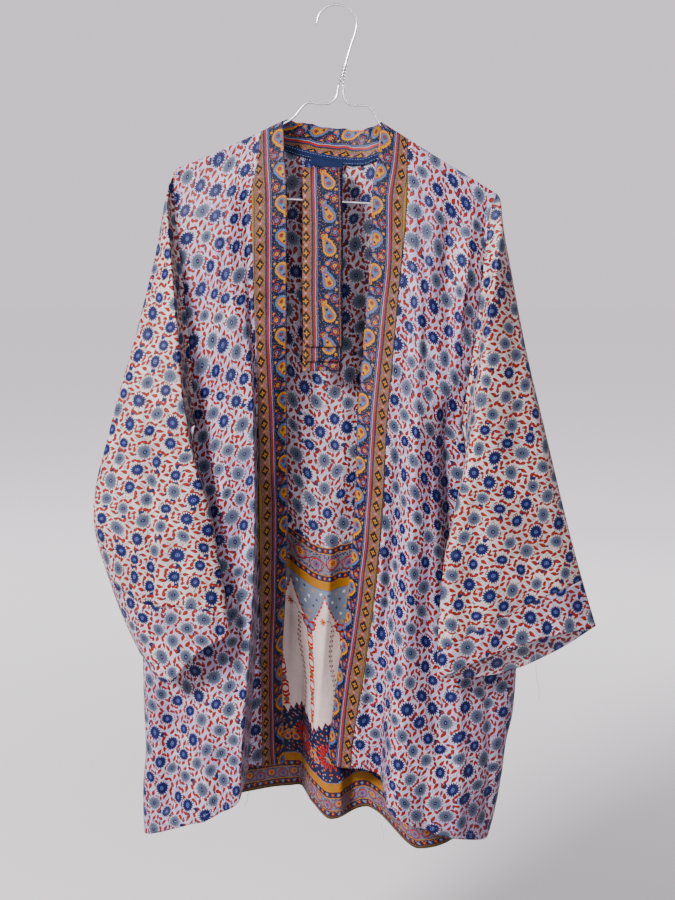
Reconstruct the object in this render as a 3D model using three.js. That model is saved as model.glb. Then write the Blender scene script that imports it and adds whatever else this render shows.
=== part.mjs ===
// A short open kimono jacket of thin printed cloth, hanging on a wire hanger.
// Millimetres, +Z up, the fronts face -Y, +X is the wearer's left.
// Every cloth piece is a closed wall that follows a middle surface worked out
// from short tables of sections. The wearer's left and right differ, because
// the hanger hangs a little aslant and the cloth falls in uneven folds.
import * as THREE from 'three';

// ---------------------------------------------------------------- sizes
const CLOTH = 1.2;          // cloth wall
const SEAM = 0.3;           // gap where two sewn pieces meet
const WIRE = 2.4;           // hanger wire, diameter
const RIDGE = 2.6;          // bend of the cloth over the wire at the shoulder
const ARM_Y = 13;           // half depth of the armhole opening
const TURN = 0.012;         // share of each panel's length spent turning over the wire
const EASE = 70;            // length in which the cloth leaves the ridge
const BELT_W = 44;          // belt width
const BELT_T = 1.0;         // belt wall
const BELT_PITCH = 1.6;     // belt layer to layer
const TAPE_W = 8.5;         // neck tape width
const HOOK_TOP = { x: -2.2, z: 2.4 }; // inside of the hook's top, before the last shift

// ---------------------------------------------------------------- tables
// Shoulder ridge of the cloth, left out between the neck points.
const RIDGE_RIGHT = [   // wearer's right, x below 0
  { x: -181.5, z: -172.3 }, { x: -144.2, z: -158.1 }, { x: -107.3, z: -141.7 },
  { x: -86.7, z: -132.2 }, { x: -63.1, z: -121.0 },
];
const RIDGE_LEFT = [    // wearer's left, x above 0
  { x: 46.4, z: -122.1 }, { x: 76.8, z: -140.6 }, { x: 112.9, z: -162.4 },
  { x: 151.4, z: -185.2 }, { x: 177.1, z: -200.9 },
];
// Armhole seams, from the underarm up to the shoulder tip.
const ARMHOLE_RIGHT = [
  { z: -463, x: -167.4 }, { z: -404, x: -168.6 }, { z: -353, x: -172.0 },
  { z: -283, x: -178.0 }, { z: -238, x: -183.4 }, { z: -196, x: -185.6 },
  { z: -172.3, x: -181.5 },
];
const ARMHOLE_LEFT = [
  { z: -463, x: 142.1 }, { z: -423, x: 146.4 }, { z: -364, x: 154.1 },
  { z: -299, x: 160.6 }, { z: -261, x: 164.4 }, { z: -221.5, x: 169.6 },
  { z: -200.9, x: 177.1 },
];
// Sections of each front. Stations run from the border band to the side:
// band seam, foot of the long fold, its ridge, crown, fall towards the side,
// side (or armhole) edge. Each is [x, y].
const FRONT_LEFT = [
  { z: -125, band: [77, -3], foot: [86, -3], ridge: [104, -4], crown: [128, -4], fall: [152, -3] },
  { z: -165, band: [76.4, -8], foot: [88, -9], ridge: [105, -11], crown: [129, -9], fall: [153, -9] },
  { z: -206, band: [75.6, -11], foot: [89, -13], ridge: [106, -17], crown: [130, -13], fall: [152, -16] },
  { z: -320, band: [66, -15], foot: [79, -16], ridge: [95, -25], crown: [117, -17], fall: [139, -21] },
  { z: -395, band: [59.7, -18], foot: [72, -18], ridge: [89, -25], crown: [111, -20], fall: [132, -19] },
  { z: -465, band: [54, -18], foot: [66, -18], ridge: [81, -25], crown: [102.5, -30], fall: [122, -12] },
  { z: -545, band: [50.8, -19], foot: [61, -18], ridge: [76, -24], crown: [103, -34], fall: [126, -10] },
  { z: -663, band: [41, -19], foot: [54, -18], ridge: [70, -28], crown: [104, -37], fall: [134, -15] },
  { z: -770, band: [27, -18], foot: [46, -18], ridge: [66, -41], crown: [106, -44], fall: [152, -28] },
  { z: -850, band: [15, -18], foot: [47, -19], ridge: [60, -51], crown: [104, -54], fall: [152, -40] },
  { z: -910, band: [12, -18], foot: [48, -20], ridge: [56, -58], crown: [103, -60], fall: [151, -46] },
  { z: -965, band: [11, -18], foot: [49, -20], ridge: [56, -60], crown: [104, -60], fall: [151, -46] },
];
const FRONT_RIGHT = [
  { z: -125, band: [-87, -3], foot: [-94, -3], ridge: [-108, -4], crown: [-134, -4], fall: [-160, -3] },
  { z: -165, band: [-92, -8], foot: [-98, -8], ridge: [-110, -10], crown: [-134, -11], fall: [-160, -9] },
  { z: -206, band: [-98, -11], foot: [-104, -11], ridge: [-113, -14], crown: [-136, -16], fall: [-162, -12] },
  { z: -320, band: [-96.5, -14], foot: [-101, -14], ridge: [-108, -20], crown: [-130, -23], fall: [-154, -16] },
  { z: -432, band: [-93, -16], foot: [-95.5, -14], ridge: [-99, -28], crown: [-122, -29], fall: [-146, -18] },
  { z: -545, band: [-92.8, -17], foot: [-94.5, -12], ridge: [-97, -36], crown: [-126, -34], fall: [-162, -20] },
  { z: -637, band: [-92.6, -14], foot: [-95, -9], ridge: [-99.5, -41], crown: [-138, -36], fall: [-182, -20] },
  { z: -716, band: [-92.6, -11], foot: [-97.5, -7], ridge: [-104.4, -49], crown: [-146, -39], fall: [-192, -23] },
  { z: -796, band: [-92.8, -9], foot: [-103, -6], ridge: [-111.5, -55], crown: [-152, -42], fall: [-197, -26] },
  { z: -888, band: [-93, -8], foot: [-108, -6], ridge: [-117, -59], crown: [-155, -45], fall: [-201, -29] },
  { z: -965, band: [-93, -8], foot: [-109, -6], ridge: [-119, -60], crown: [-156, -45], fall: [-202, -30] },
];
// Side seams below the underarm.
const SIDE_LEFT = [
  { z: -463, x: 142.1 }, { z: -500, x: 151 }, { z: -600, x: 179.4 }, { z: -684, x: 200 },
  { z: -758, x: 211 }, { z: -806, x: 208.5 }, { z: -850, x: 200.4 }, { z: -886, x: 196.6 },
  { z: -920, x: 190.3 }, { z: -962, x: 180 },
];
const SIDE_RIGHT = [
  { z: -463, x: -167.4 }, { z: -500, x: -178 }, { z: -600, x: -205 }, { z: -672, x: -224.3 },
  { z: -739, x: -234.2 }, { z: -795, x: -234.3 }, { z: -852, x: -233.2 }, { z: -909, x: -237.5 },
  { z: -962, x: -237 },
];
// Hem heights at the stations of each panel.
const HEM_FRONT_LEFT = { band: -873.7, foot: -880.5, ridge: -904, crown: -933, fall: -949.5, side: -960 };
const HEM_FRONT_RIGHT = { band: -874.9, foot: -873.8, ridge: -897, crown: -924.5, fall: -945.5, side: -959.5 };
// Sections of the back. Stations run from the wearer's right side to the left.
const BACK = [
  { z: -118, a: [-150, 3], b: [-87.3, 5], c: [-40, 16], d: [-4, 21], e: [34, 18], f: [77.4, 5], g: [140, 3] },
  { z: -160, a: [-150, 8], b: [-88.1, 12], c: [-41, 19], d: [-5, 23], e: [34, 20], f: [78.1, 12], g: [140, 7] },
  { z: -206, a: [-150, 12], b: [-92, 17], c: [-48, 20], d: [-7, 23], e: [34, 21], f: [80, 17], g: [140, 12] },
  { z: -320, a: [-146, 16], b: [-100, 23], c: [-58, 20], d: [-12, 26], e: [36, 22], f: [82, 23], g: [130, 15] },
  { z: -465, a: [-142, 20], b: [-106, 29], c: [-70, 24], d: [-16, 29], e: [36, 30], f: [78, 22], g: [116, 17] },
  { z: -545, a: [-158, 21], b: [-110, 32], c: [-70, 30], d: [-18, 26], e: [32, 33], f: [82, 21], g: [132, 19] },
  { z: -665, a: [-186, 23], b: [-128, 36], c: [-70, 38], d: [-20, 24], e: [26, 36], f: [88, 22], g: [158, 20] },
  { z: -770, a: [-196, 25], b: [-132, 39], c: [-66, 41], d: [-18, 21], e: [26, 36], f: [90, 14], g: [168, 20] },
  { z: -870, a: [-198, 26], b: [-132, 40], c: [-60, 40], d: [-14, 8], e: [30, 28], f: [92, -8], g: [156, 14] },
  { z: -930, a: [-196, 26], b: [-130, 39], c: [-56, 38], d: [-10, -4], e: [34, 18], f: [94, -26], g: [146, 4] },
  { z: -975, a: [-195, 25], b: [-130, 38], c: [-55, 37], d: [-10, -6], e: [36, 15], f: [95, -30], g: [145, 1] },
];
const HEM_BACK = { right: -963.5, a: -952, b: -932, c: -920, d: -943.5, e: -938, f: -969, g: -966, left: -964.5 };
// Neckline: free edge of the neck band (f) and its seam edge (g), from the
// wearer's right shoulder round the back of the neck to the left shoulder.
const NECK = [
  { s: 0.00, f: [-63.1, 0.15, -121.0], g: [-86.7, 0.15, -132.2] },
  { s: 0.02, f: [-62.9, 1.9, -121.3], g: [-85.8, 1.9, -132.9] },
  { s: 0.04, f: [-62.2, 3.2, -120.9], g: [-84.3, 3.4, -134.2] },
  { s: 0.10, f: [-57.5, 10, -118.4], g: [-74, 9, -141.0] },
  { s: 0.25, f: [-43.5, 22, -119.6], g: [-55, 16.5, -147.5] },
  { s: 0.45, f: [-21, 29, -122.8], g: [-26, 21, -154.6] },
  { s: 0.60, f: [2.9, 31, -125.8], g: [2.9, 22, -159.2] },
  { s: 0.75, f: [20, 28, -127.0], g: [24, 20.5, -160.4] },
  { s: 0.88, f: [34.5, 18, -126.4], g: [47, 14.5, -153.5] },
  { s: 0.95, f: [42, 8, -123.8], g: [63, 8, -147.5] },
  { s: 0.975, f: [44.9, 4, -122.6], g: [71.5, 4.2, -143.6] },
  { s: 0.988, f: [45.9, 1.9, -122.3], g: [75.4, 1.9, -141.2] },
  { s: 1.00, f: [46.4, 0.15, -122.1], g: [76.8, 0.15, -140.6] },
];
// Front border bands: the seam edge comes from the front, then the thin stripe
// line between the band's two halves, then the free edge. Each is [x, y].
const BAND_LEFT = [
  { z: -122, stripe: [62, -3], free: [46.4, -3] },
  { z: -152, stripe: [61.6, -6], free: [43.8, -4] },
  { z: -206, stripe: [57.5, -10], free: [36.4, -8] },
  { z: -261, stripe: [56, -12], free: [36.3, -9] },
  { z: -320, stripe: [50.3, -13], free: [31.3, -8] },
  { z: -395, stripe: [44, -15], free: [25.5, -6] },
  { z: -465, stripe: [39, -15], free: [20.5, -4] },
  { z: -545, stripe: [36, -16], free: [18.6, -1] },
  { z: -663, stripe: [25, -16], free: [10.6, 2] },
  { z: -773, stripe: [9.6, -15], free: [-2.8, 4] },
  { z: -875, stripe: [-6, -13], free: [-15.4, 0] },
];
const BAND_RIGHT = [
  { z: -122, stripe: [-77, -3], free: [-63.1, -3] },
  { z: -153, stripe: [-77.5, -6], free: [-62, -6] },
  { z: -206, stripe: [-84, -11], free: [-58.7, -10] },
  { z: -320, stripe: [-81.9, -13], free: [-59.9, -9] },
  { z: -432, stripe: [-78.5, -12], free: [-61.3, 1] },
  { z: -545, stripe: [-78.5, -10], free: [-61, 7] },
  { z: -663, stripe: [-79, -5], free: [-64.5, 13] },
  { z: -770, stripe: [-81, 0], free: [-69.5, 17] },
  { z: -882, stripe: [-79.5, 0], free: [-66, 16] },
];
// Sleeves, from the armhole to the cuff hem. inner and outer are the edges of
// the flattened tube, front and back its bulge from their line, lift and drop
// how far the front and back hems leave the straight line between the edges.
const SLEEVE_LEFT = [
  { t: 0.00, inner: [142.6, 0, -463], outer: [177.6, 0, -200.9], front: 13, back: 13, lift: 0, drop: 0 },
  { t: 0.04, inner: [149, -2, -467], outer: [181.5, 0, -207], front: 16, back: 13, lift: 0, drop: 0 },
  { t: 0.12, inner: [151, -14, -477], outer: [184.5, 0, -232], front: 20, back: 12, lift: 0, drop: 0 },
  { t: 0.25, inner: [142, -38, -503], outer: [196, -2, -292], front: 20, back: 12, lift: 0, drop: 0 },
  { t: 0.42, inner: [131, -46, -552], outer: [212, -8, -372], front: 18, back: 11, lift: 0, drop: 0 },
  { t: 0.60, inner: [119, -51, -612], outer: [239, -14, -480], front: 17, back: 9, lift: 0, drop: 0 },
  { t: 0.80, inner: [113, -57, -690], outer: [270, -20, -600], front: 14, back: 6, lift: 4, drop: 8 },
  { t: 1.00, inner: [112, -60, -747], outer: [299, -25, -696], front: 13, back: 6, lift: 11, drop: 22 },
];
const SLEEVE_RIGHT = [
  { t: 0.00, inner: [-167.9, 0, -463], outer: [-182.0, 0, -172.3], front: 13, back: 13, lift: 0, drop: 0 },
  { t: 0.04, inner: [-175, -2, -466], outer: [-187.5, 0, -180], front: 17, back: 13, lift: 0, drop: 0 },
  { t: 0.12, inner: [-177, -14, -478], outer: [-195, 0, -203], front: 21, back: 12, lift: 0, drop: 0 },
  { t: 0.25, inner: [-161, -38, -508], outer: [-207, -2, -262], front: 21, back: 12, lift: 0, drop: 0 },
  { t: 0.42, inner: [-146, -47, -552], outer: [-232, -6, -358], front: 21, back: 12, lift: 0, drop: 0 },
  { t: 0.60, inner: [-139, -50, -596], outer: [-264, -8, -465], front: 22, back: 11, lift: 0, drop: 0 },
  { t: 0.80, inner: [-130, -56, -648], outer: [-286, -9, -572], front: 27, back: 6, lift: -4, drop: 6 },
  { t: 0.90, inner: [-126, -59, -674], outer: [-266, -10, -655], front: 31, back: 4, lift: -15, drop: 8 },
  { t: 1.00, inner: [-123, -61, -694], outer: [-235, -15, -730], front: 31, back: 4, lift: -34, drop: 10 },
];
const SLIT = { from: -884, over: 50, half: 4 }; // side seams are left open near the hem
const CUFF_AT = 0.88;       // where the cuff band is sewn on, along the sleeve
// Hanger wire, its centre line in the plane y = 0.
const HOOK = [
  { x: -26, z: -18.5 }, { x: -21.5, z: -5.3 }, { x: -12.7, z: 1.6 }, { x: -2.2, z: 3.6 },
  { x: 8.3, z: 0.5 }, { x: 16, z: -7.4 }, { x: 19.1, z: -15.9 }, { x: 17.7, z: -25 },
  { x: 12, z: -42 }, { x: 7.4, z: -57.5 }, { x: 5.25, z: -66 }, { x: 2.7, z: -76 },
];
const FRAME = [
  { x: -0.6, z: -80.4 }, { x: -1.6, z: -86 }, { x: -3.9, z: -95.7 }, { x: -10.9, z: -101.6 }, { x: -22.4, z: -102.6 },
  { x: -35.9, z: -101.4 }, { x: -51.9, z: -117.6 }, { x: -66, z: -125.6 }, { x: -107, z: -144.8 },
  { x: -144, z: -161.3 }, { x: -172, z: -172.9 }, { x: -182.5, z: -179.5 }, { x: -184.2, z: -188 }, { x: -177, z: -197 },
  { x: -160, z: -201.4 }, { x: -59.7, z: -206.4 }, { x: 39.3, z: -211.4 }, { x: 150, z: -216.9 },
  { x: 166, z: -216.8 }, { x: 173.6, z: -212 }, { x: 171.5, z: -203.5 }, { x: 160, z: -194.2 },
  { x: 112, z: -165.8 }, { x: 76, z: -143.8 }, { x: 50, z: -128.9 }, { x: 43.8, z: -122.4 }, { x: 33.8, z: -105.9 },
  { x: 23.7, z: -104.1 }, { x: 10.9, z: -103 }, { x: 4.9, z: -95.7 }, { x: 4.3, z: -86 }, { x: 3.6, z: -80.6 },
];

// ---------------------------------------------------------------- functions
const clamp = (v, a = 0, b = 1) => Math.min(b, Math.max(a, v));
const mix = (a, b, f) => a + (b - a) * f;
const smooth = f => { f = clamp(f); return f * f * (3 - 2 * f); };

// Shape-keeping cubic through (xs, ys), xs rising.
function cubic(xs, ys) {
  const n = xs.length, d = [], m = [];
  for (let i = 0; i < n - 1; i++) d.push((ys[i + 1] - ys[i]) / (xs[i + 1] - xs[i]));
  // end slopes from three points, kept from overshooting
  const end = (h0, h1, d0, d1) => {
    const e = ((2 * h0 + h1) * d0 - h0 * d1) / (h0 + h1);
    return e * d0 <= 0 ? 0 : Math.abs(e) > 3 * Math.abs(d0) ? 3 * d0 : e;
  };
  m.push(n > 2 ? end(xs[1] - xs[0], xs[2] - xs[1], d[0], d[1]) : d[0]);
  for (let i = 1; i < n - 1; i++) {
    if (d[i - 1] * d[i] <= 0) { m.push(0); continue; }
    const a = xs[i] - xs[i - 1], b = xs[i + 1] - xs[i];
    m.push((3 * (a + b)) / ((2 * b + a) / d[i - 1] + (b + 2 * a) / d[i]));
  }
  m.push(n > 2 ? end(xs[n - 1] - xs[n - 2], xs[n - 2] - xs[n - 3], d[n - 2], d[n - 3]) : d[n - 2]);
  return x => {
    x = clamp(x, xs[0], xs[n - 1]);
    let i = 0;
    while (i < n - 2 && x > xs[i + 1]) i++;
    const h = xs[i + 1] - xs[i], f = (x - xs[i]) / h, g = f * f, k = g * f;
    return (2 * k - 3 * g + 1) * ys[i] + (k - 2 * g + f) * h * m[i] + (3 * g - 2 * k) * ys[i + 1] + (k - g) * h * m[i + 1];
  };
}
// Column of a table as a function of its key.
function column(rows, key, pick) {
  const r = rows.slice().sort((p, q) => p[key] - q[key]);
  return cubic(r.map(p => p[key]), r.map(pick));
}
// Closed wall about a middle surface. us and vs are the grid's values;
// ring joins the last u to the first, over is the whole surface's range where
// the wall is only a length of it, fold a u where two lengths meet on a fold.
function wall(name, point, us, vs, colour, { thick = CLOTH, ring = false, over = null, fold = null } = {}) {
  const nu = us.length, nv = vs.length, pos = [], tri = [];
  const [u0, u1, v0, v1] = over ?? [us[0], us[nu - 1], vs[0], vs[nv - 1]];
  const eu = (u1 - u0) * 1e-4, ev = (v1 - v0) * 1e-4;
  // The way the cloth faces: the mean of the faces meeting there, each counted
  // alike, so that the wall keeps its two sides apart on a sharp fold. Two
  // lengths that meet at a fold share its mitre.
  const facing = (u, v) => {
    if (fold !== null && Math.abs(u - fold) < 0.004) u = fold;
    const p = point(u, v), n = new THREE.Vector3();
    for (const a of [-eu, eu]) for (const b of [-ev, ev]) {
      if (!ring && (u + a < u0 || u + a > u1) || v + b < v0 || v + b > v1) continue;
      const du = point(u + a, v).sub(p), dv = point(u, v + b).sub(p);
      n.add(du.cross(dv).multiplyScalar(Math.sign(a * b)).normalize());
    }
    return n.normalize();
  };
  for (const side of [1, -1]) {
    for (const v of vs) for (const u of us) {
      const p = point(u, v).addScaledVector(facing(u, v), side * thick / 2);
      pos.push(p.x, p.y, p.z);
    }
  }
  const at = (i, j, s) => s * nu * nv + j * nu + (ring ? i % nu : i);
  // both sides are halved along the same diagonal, so a twisted patch keeps its thickness
  const quad = (a, b, c, d) => tri.push(a, b, c, a, c, d);
  const iu = ring ? nu : nu - 1;
  for (let j = 0; j < nv - 1; j++) for (let i = 0; i < iu; i++) {
    quad(at(i + 1, j, 0), at(i + 1, j + 1, 0), at(i, j + 1, 0), at(i, j, 0));
    quad(at(i, j + 1, 1), at(i + 1, j + 1, 1), at(i + 1, j, 1), at(i, j, 1));
  }
  // the narrow sides; both ends are halved the same way, so that lengths meet
  for (let i = 0; i < iu; i++) {
    quad(at(i, 0, 1), at(i + 1, 0, 1), at(i + 1, 0, 0), at(i, 0, 0));
    quad(at(i + 1, nv - 1, 0), at(i + 1, nv - 1, 1), at(i, nv - 1, 1), at(i, nv - 1, 0));
  }
  if (!ring) for (let j = 0; j < nv - 1; j++) {
    quad(at(0, j + 1, 1), at(0, j, 1), at(0, j, 0), at(0, j + 1, 0));
    quad(at(nu - 1, j + 1, 1), at(nu - 1, j + 1, 0), at(nu - 1, j, 0), at(nu - 1, j, 1));
  }
  return solid(name, pos, tri, colour);
}
function solid(name, pos, tri, colour, rough = 0.7, metal = 0) {
  let vol = 0;
  for (let k = 0; k < tri.length; k += 3) {
    const [a, b, c] = [0, 1, 2].map(q => new THREE.Vector3().fromArray(pos, tri[k + q] * 3));
    vol += a.dot(b.cross(c));
  }
  if (vol < 0) for (let k = 0; k < tri.length; k += 3) [tri[k], tri[k + 1]] = [tri[k + 1], tri[k]];
  const g = new THREE.BufferGeometry();
  g.setAttribute('position', new THREE.Float32BufferAttribute(pos, 3));
  g.setIndex(tri);
  g.computeVertexNormals();
  const mesh = new THREE.Mesh(g, new THREE.MeshStandardMaterial({ color: colour, roughness: rough, metalness: metal }));
  mesh.name = name;
  return mesh;
}
const steps = (a, b, n, p = 1) => Array.from({ length: n + 1 }, (_, i) => mix(a, b, Math.pow(i / n, p)));
// The part of a list of grid values between a and b, ends included.
const between = (list, [a, b], hair) => [a, ...list.filter(q => q > a + hair && q < b - hair), b];
// A long panel as simpler lengths, a hair apart, named after where they lie.
const lengths = (name, point, us, vs, cuts, colour, options) => cuts.map(c =>
  wall(`${name}_${c.part}`, point, c.u ? between(us, c.u, 0.05) : us, between(vs, c.v, 0.004), colour,
    { over: [us[0], us.at(-1), vs[0], vs.at(-1)], fold: c.u ? 4 : null, ...options }));

// ---------------------------------------------------------------- body
const ridgeRight = column(RIDGE_RIGHT, 'x', r => r.z), ridgeLeft = column(RIDGE_LEFT, 'x', r => r.z);
const ridge = x => x < 0 ? ridgeRight(x) : ridgeLeft(x);

// One side of the body: where its armhole and side seam run.
function flank(armRows, sideRows, tip) {
  const arm = column(armRows, 'z', r => r.x), side = column(sideRows, 'z', r => r.x);
  const under = armRows[0].z;
  return {
    tip, under,
    x: z => z > under ? arm(z) : side(z),
    // half depth of the armhole at height z
    open: z => {
      const l = tip.z - z;
      if (l <= 0) return 0;
      const arch = l < RIDGE ? Math.sqrt(RIDGE * RIDGE - (RIDGE - l) ** 2) : RIDGE;
      const full = ARM_Y * Math.sqrt(smooth((z - under) / 90));
      return Math.min(mix(arch, Math.max(full, 0), smooth((l - RIDGE) / EASE)), 60);
    },
    // how square the cloth turns at its edge: 1 at the armhole, lower at the side
    turn: z => mix(0.5, 1, smooth((z - under + 10) / 50)),
  };
}
const left = flank(ARMHOLE_LEFT, SIDE_LEFT, { x: 177.1, z: -200.9 });
const right = flank(ARMHOLE_RIGHT, SIDE_RIGHT, { x: -181.5, z: -172.3 });

// A panel from named stations. sign is -1 for a front, +1 for the back.
// near and far are the flanks at the first and last station, if it has them.
function panel(rows, names, hem, sign, near, far, top) {
  const xs = {}, ys = {};
  for (const k of names) {
    xs[k] = column(rows, 'z', r => r[k][0]);
    ys[k] = column(rows, 'z', r => r[k][1]);
  }
  const all = [...(near ? ['near'] : []), ...names, ...(far ? ['far'] : [])];
  const last = all.length - 1;
  const hemKey = k => k === 'near' ? hem.right : k === 'far' ? (hem.left ?? hem.side) : hem[k];
  const hemZ = cubic(all.map((_, i) => i), all.map(hemKey));
  const slit = z => SLIT.half * smooth((SLIT.from - z) / SLIT.over);
  const edgeY = (f, z) => z > f.under ? sign * Math.max(f.open(z), SEAM * 0.8) : sign * (SEAM * 0.8 + slit(z));
  const stationX = (k, z) => k === 'near' ? near.x(Math.min(z, near.tip.z)) : k === 'far' ? far.x(Math.min(z, far.tip.z)) : xs[k](z);
  const xAt = (u, z) => { const i = Math.min(Math.floor(u), last - 1), f = u - i; return mix(stationX(all[i], z), stationX(all[i + 1], z), f); };
  const topZ = u => { let z = -150; for (let k = 0; k < 6; k++) z = top(xAt(u, z)).z; return z; };
  function depth(u, z) {
    // depths at the stations, the seam edges left to the rounded turn below
    const inner = names.map(k => ys[k](z)), first = near ? 1 : 0;
    const px = names.map((_, i) => i + first);
    let y;
    if (far && u > last - 1) {
      const q = last - u, e = edgeY(far, z), b = inner[inner.length - 1];
      y = e + (b - e) * Math.pow(q, far.turn(z));
    } else if (near && u < 1) {
      const e = edgeY(near, z), b = inner[0];
      y = e + (b - e) * Math.pow(u, near.turn(z));
    } else y = cubic(px, inner)(u);
    return y;
  }
  return (u, v) => {
    const zt = topZ(u), zb = hemZ(u);
    const t = top(xAt(u, zt)), open = clamp(t.y / RIDGE, 0, 1);
    let l, y;
    if (v < TURN) {
      const th = v / TURN * Math.PI / 2;
      l = RIDGE * (1 - Math.cos(th));
      y = sign * (t.y + SEAM / 2 + (1 - open) * (RIDGE - SEAM / 2) * Math.sin(th));
    } else {
      l = RIDGE + (v - TURN) / (1 - TURN) * (zt - RIDGE - zb);
      const y0 = sign * (t.y + SEAM / 2 + (1 - open) * (RIDGE - SEAM / 2));
      const z = zt - l, atEdge = (far && u >= last) || (near && u <= 0);
      const f = smooth((l - RIDGE) / EASE);
      y = atEdge ? depth(u, z) : mix(y0, depth(u, z), f);
      if (far && u > last - 1 && u < last) y = mix(depth(last, z), y, Math.min(1, (last - u) * 4) < 1 ? smooth((last - u) * 4) : 1);
      if (near && u < 1 && u > 0) y = mix(depth(0, z), y, u * 4 < 1 ? smooth(u * 4) : 1);
      if (l > EASE + RIDGE) y = depth(u, z);
    }
    const z = zt - l;
    return new THREE.Vector3(xAt(u, z), y, z);
  };
}
const FRONT_STATIONS = ['band', 'foot', 'ridge', 'crown', 'fall'];
const overRidge = x => ({ z: ridge(x), y: 0 });
const frontLeft = panel(FRONT_LEFT, FRONT_STATIONS, HEM_FRONT_LEFT, -1, null, left, overRidge);
const frontRight = panel(FRONT_RIGHT, FRONT_STATIONS, HEM_FRONT_RIGHT, -1, null, right, overRidge);
const seamZ = column(NECK.map(r => ({ x: r.g[0], z: r.g[2] })), 'x', r => r.z);
const seamY = column(NECK.map(r => ({ x: r.g[0], y: r.g[1] })), 'x', r => r.y);
const clear = x => x < -55 ? 1.2 : x > 50 ? -1.2 : 0;
const neckTop = x => x > -87.2 && x < 77.3 ? { z: seamZ(x + clear(x)) - 2 * SEAM, y: Math.max(seamY(x) - SEAM / 2, 0) } : overRidge(x);
const back = panel(BACK, ['a', 'b', 'c', 'd', 'e', 'f', 'g'], HEM_BACK, 1, right, left, neckTop);

const down = n => [0, TURN / 2, TURN, ...steps(0.03, 1, n, 1.25)];
const across = [0, 0.5, 1, 1.5, 2, 2.5, 3, 3.5, 4, 4.4, 4.7, 4.9, 5];
const backAcross = [0, 0.1, 0.3, 0.6, 1, 1.5, 2, 2.02, 2.06, 2.15, 2.28, 2.5, 2.75, 3, 3.5, 4, 4.5, 5, 5.3, 5.5, 5.7, 5.85, 5.94, 5.98, 6, 6.5, 7, 7.4, 7.7, 7.9, 8];

// ---------------------------------------------------------------- bands
function bandPoint(rows, front, gap, hem) {
  const pick = (list, k, i) => column(list, 'z', r => r[k][i]);
  const seamX = pick(front, 'band', 0);
  const X = [z => seamX(z) + gap, pick(rows, 'stripe', 0), pick(rows, 'free', 0)];
  const Y = [pick(front, 'band', 1), pick(rows, 'stripe', 1), pick(rows, 'free', 1)];
  // w runs from the seam edge (0) over the stripe (1) to the free edge (2)
  const at = (F, w, z) => w < 1 ? mix(F[0](z), F[1](z), w) : mix(F[1](z), F[2](z), w - 1);
  return (w, v) => {
    let zt = -130;
    for (let k = 0; k < 6; k++) zt = ridge(at(X, w, zt));
    const zb = hem(w / 2);
    let l, y;
    if (v < TURN) {
      const th = v / TURN * Math.PI / 2;
      l = RIDGE * (1 - Math.cos(th));
      y = -(SEAM / 2 + (RIDGE - SEAM / 2) * Math.sin(th));
    } else {
      l = RIDGE + (v - TURN) / (1 - TURN) * (zt - RIDGE - zb);
      y = mix(-RIDGE, at(Y, w, zt - l), smooth((l - RIDGE) / EASE));
    }
    return new THREE.Vector3(at(X, w, zt - l), y, zt - l);
  };
}
const bandLeft = bandPoint(BAND_LEFT, FRONT_LEFT, -2 * SEAM, w => mix(HEM_FRONT_LEFT.band, -872.7, w));
const bandRight = bandPoint(BAND_RIGHT, FRONT_RIGHT, 4 * SEAM, w => mix(HEM_FRONT_RIGHT.band, -880.5, w));
const neckCol = (k, i) => column(NECK, 's', r => r[k][i]);
const N = ['f', 'g'].map(k => [0, 1, 2].map(i => neckCol(k, i)));
const neckPoint = (w, s) => new THREE.Vector3(...[0, 1, 2].map(i => mix(N[1][i](s), N[0][i](s), w)));
// Its steps stand over the back's own steps, so the seam's two edges run alike.
const neckSteps = backAcross.filter(u => u >= 2 && u <= 6).map(u => {
  const x = back(u, 0).x;
  let [a, b] = [0, 1];
  for (let k = 0; k < 30; k++) { const m = (a + b) / 2; N[1][0](m) < x ? a = m : b = m; }
  return u === 2 ? 0 : u === 6 ? 1 : (a + b) / 2;
});
// Tape inside the neck, on the back panel just under the band's seam.
const tapePoint = (w, s) => {
  const x = mix(-64, 46, s), z = seamZ(x) + 1.2 - w * TAPE_W;
  return new THREE.Vector3(x, seamY(x) - 2.4 + w * 0.5, z);
};
// Label tab, hanging from the tape, bare.
const tabPoint = (w, s) => {
  const x = mix(-32.5, 4.1, s), z = seamZ(x) - 5.2 - w * 9.5;
  return new THREE.Vector3(x, seamY(x) - 4.2 - w * 1.4, z);
};

// ---------------------------------------------------------------- sleeves
function sleeve(rows, f, s) {
  const col = (k, i) => column(rows, 't', r => (i === undefined ? r[k] : r[k][i]));
  const I = [0, 1, 2].map(i => col('inner', i)), O = [0, 1, 2].map(i => col('outer', i));
  const front = col('front'), backB = col('back'), lift = col('lift'), drop = col('drop');
  // a turns once round the tube: 0 inner edge, pi outer edge, the front first
  return (a, t) => {
    const q = (1 - Math.cos(a)) / 2, isFront = Math.sin(a) >= 0, b = Math.abs(Math.sin(a));
    const p = [0, 1, 2].map(i => mix(I[i](t), O[i](t), q));
    const z0 = mix(f.under, f.tip.z, q), near = 1 - smooth(t / 0.12);
    // at the armhole the ring follows the seam
    p[0] += near * (f.x(z0 + 1e-6) + s * (0.8 + 1.8 * (1 - smooth((z0 - f.under) / 50))) - (t < 1e-9 ? p[0] : mix(rows[0].inner[0], rows[0].outer[0], q)));
    const ell = isFront ? -front(t) * b : backB(t) * b;
    const arm = (isFront ? -1 : 1) * f.open(z0);
    p[1] += mix(ell, arm, near);
    const peak = s > 0 ? 4 * q * (1 - q) : Math.pow(Math.sin(Math.PI * Math.pow(q, 1.7)), 2);
    p[2] += isFront ? lift(t) * peak : -drop(t) * 4 * q * (1 - q);
    return new THREE.Vector3(...p);
  };
}
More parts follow.
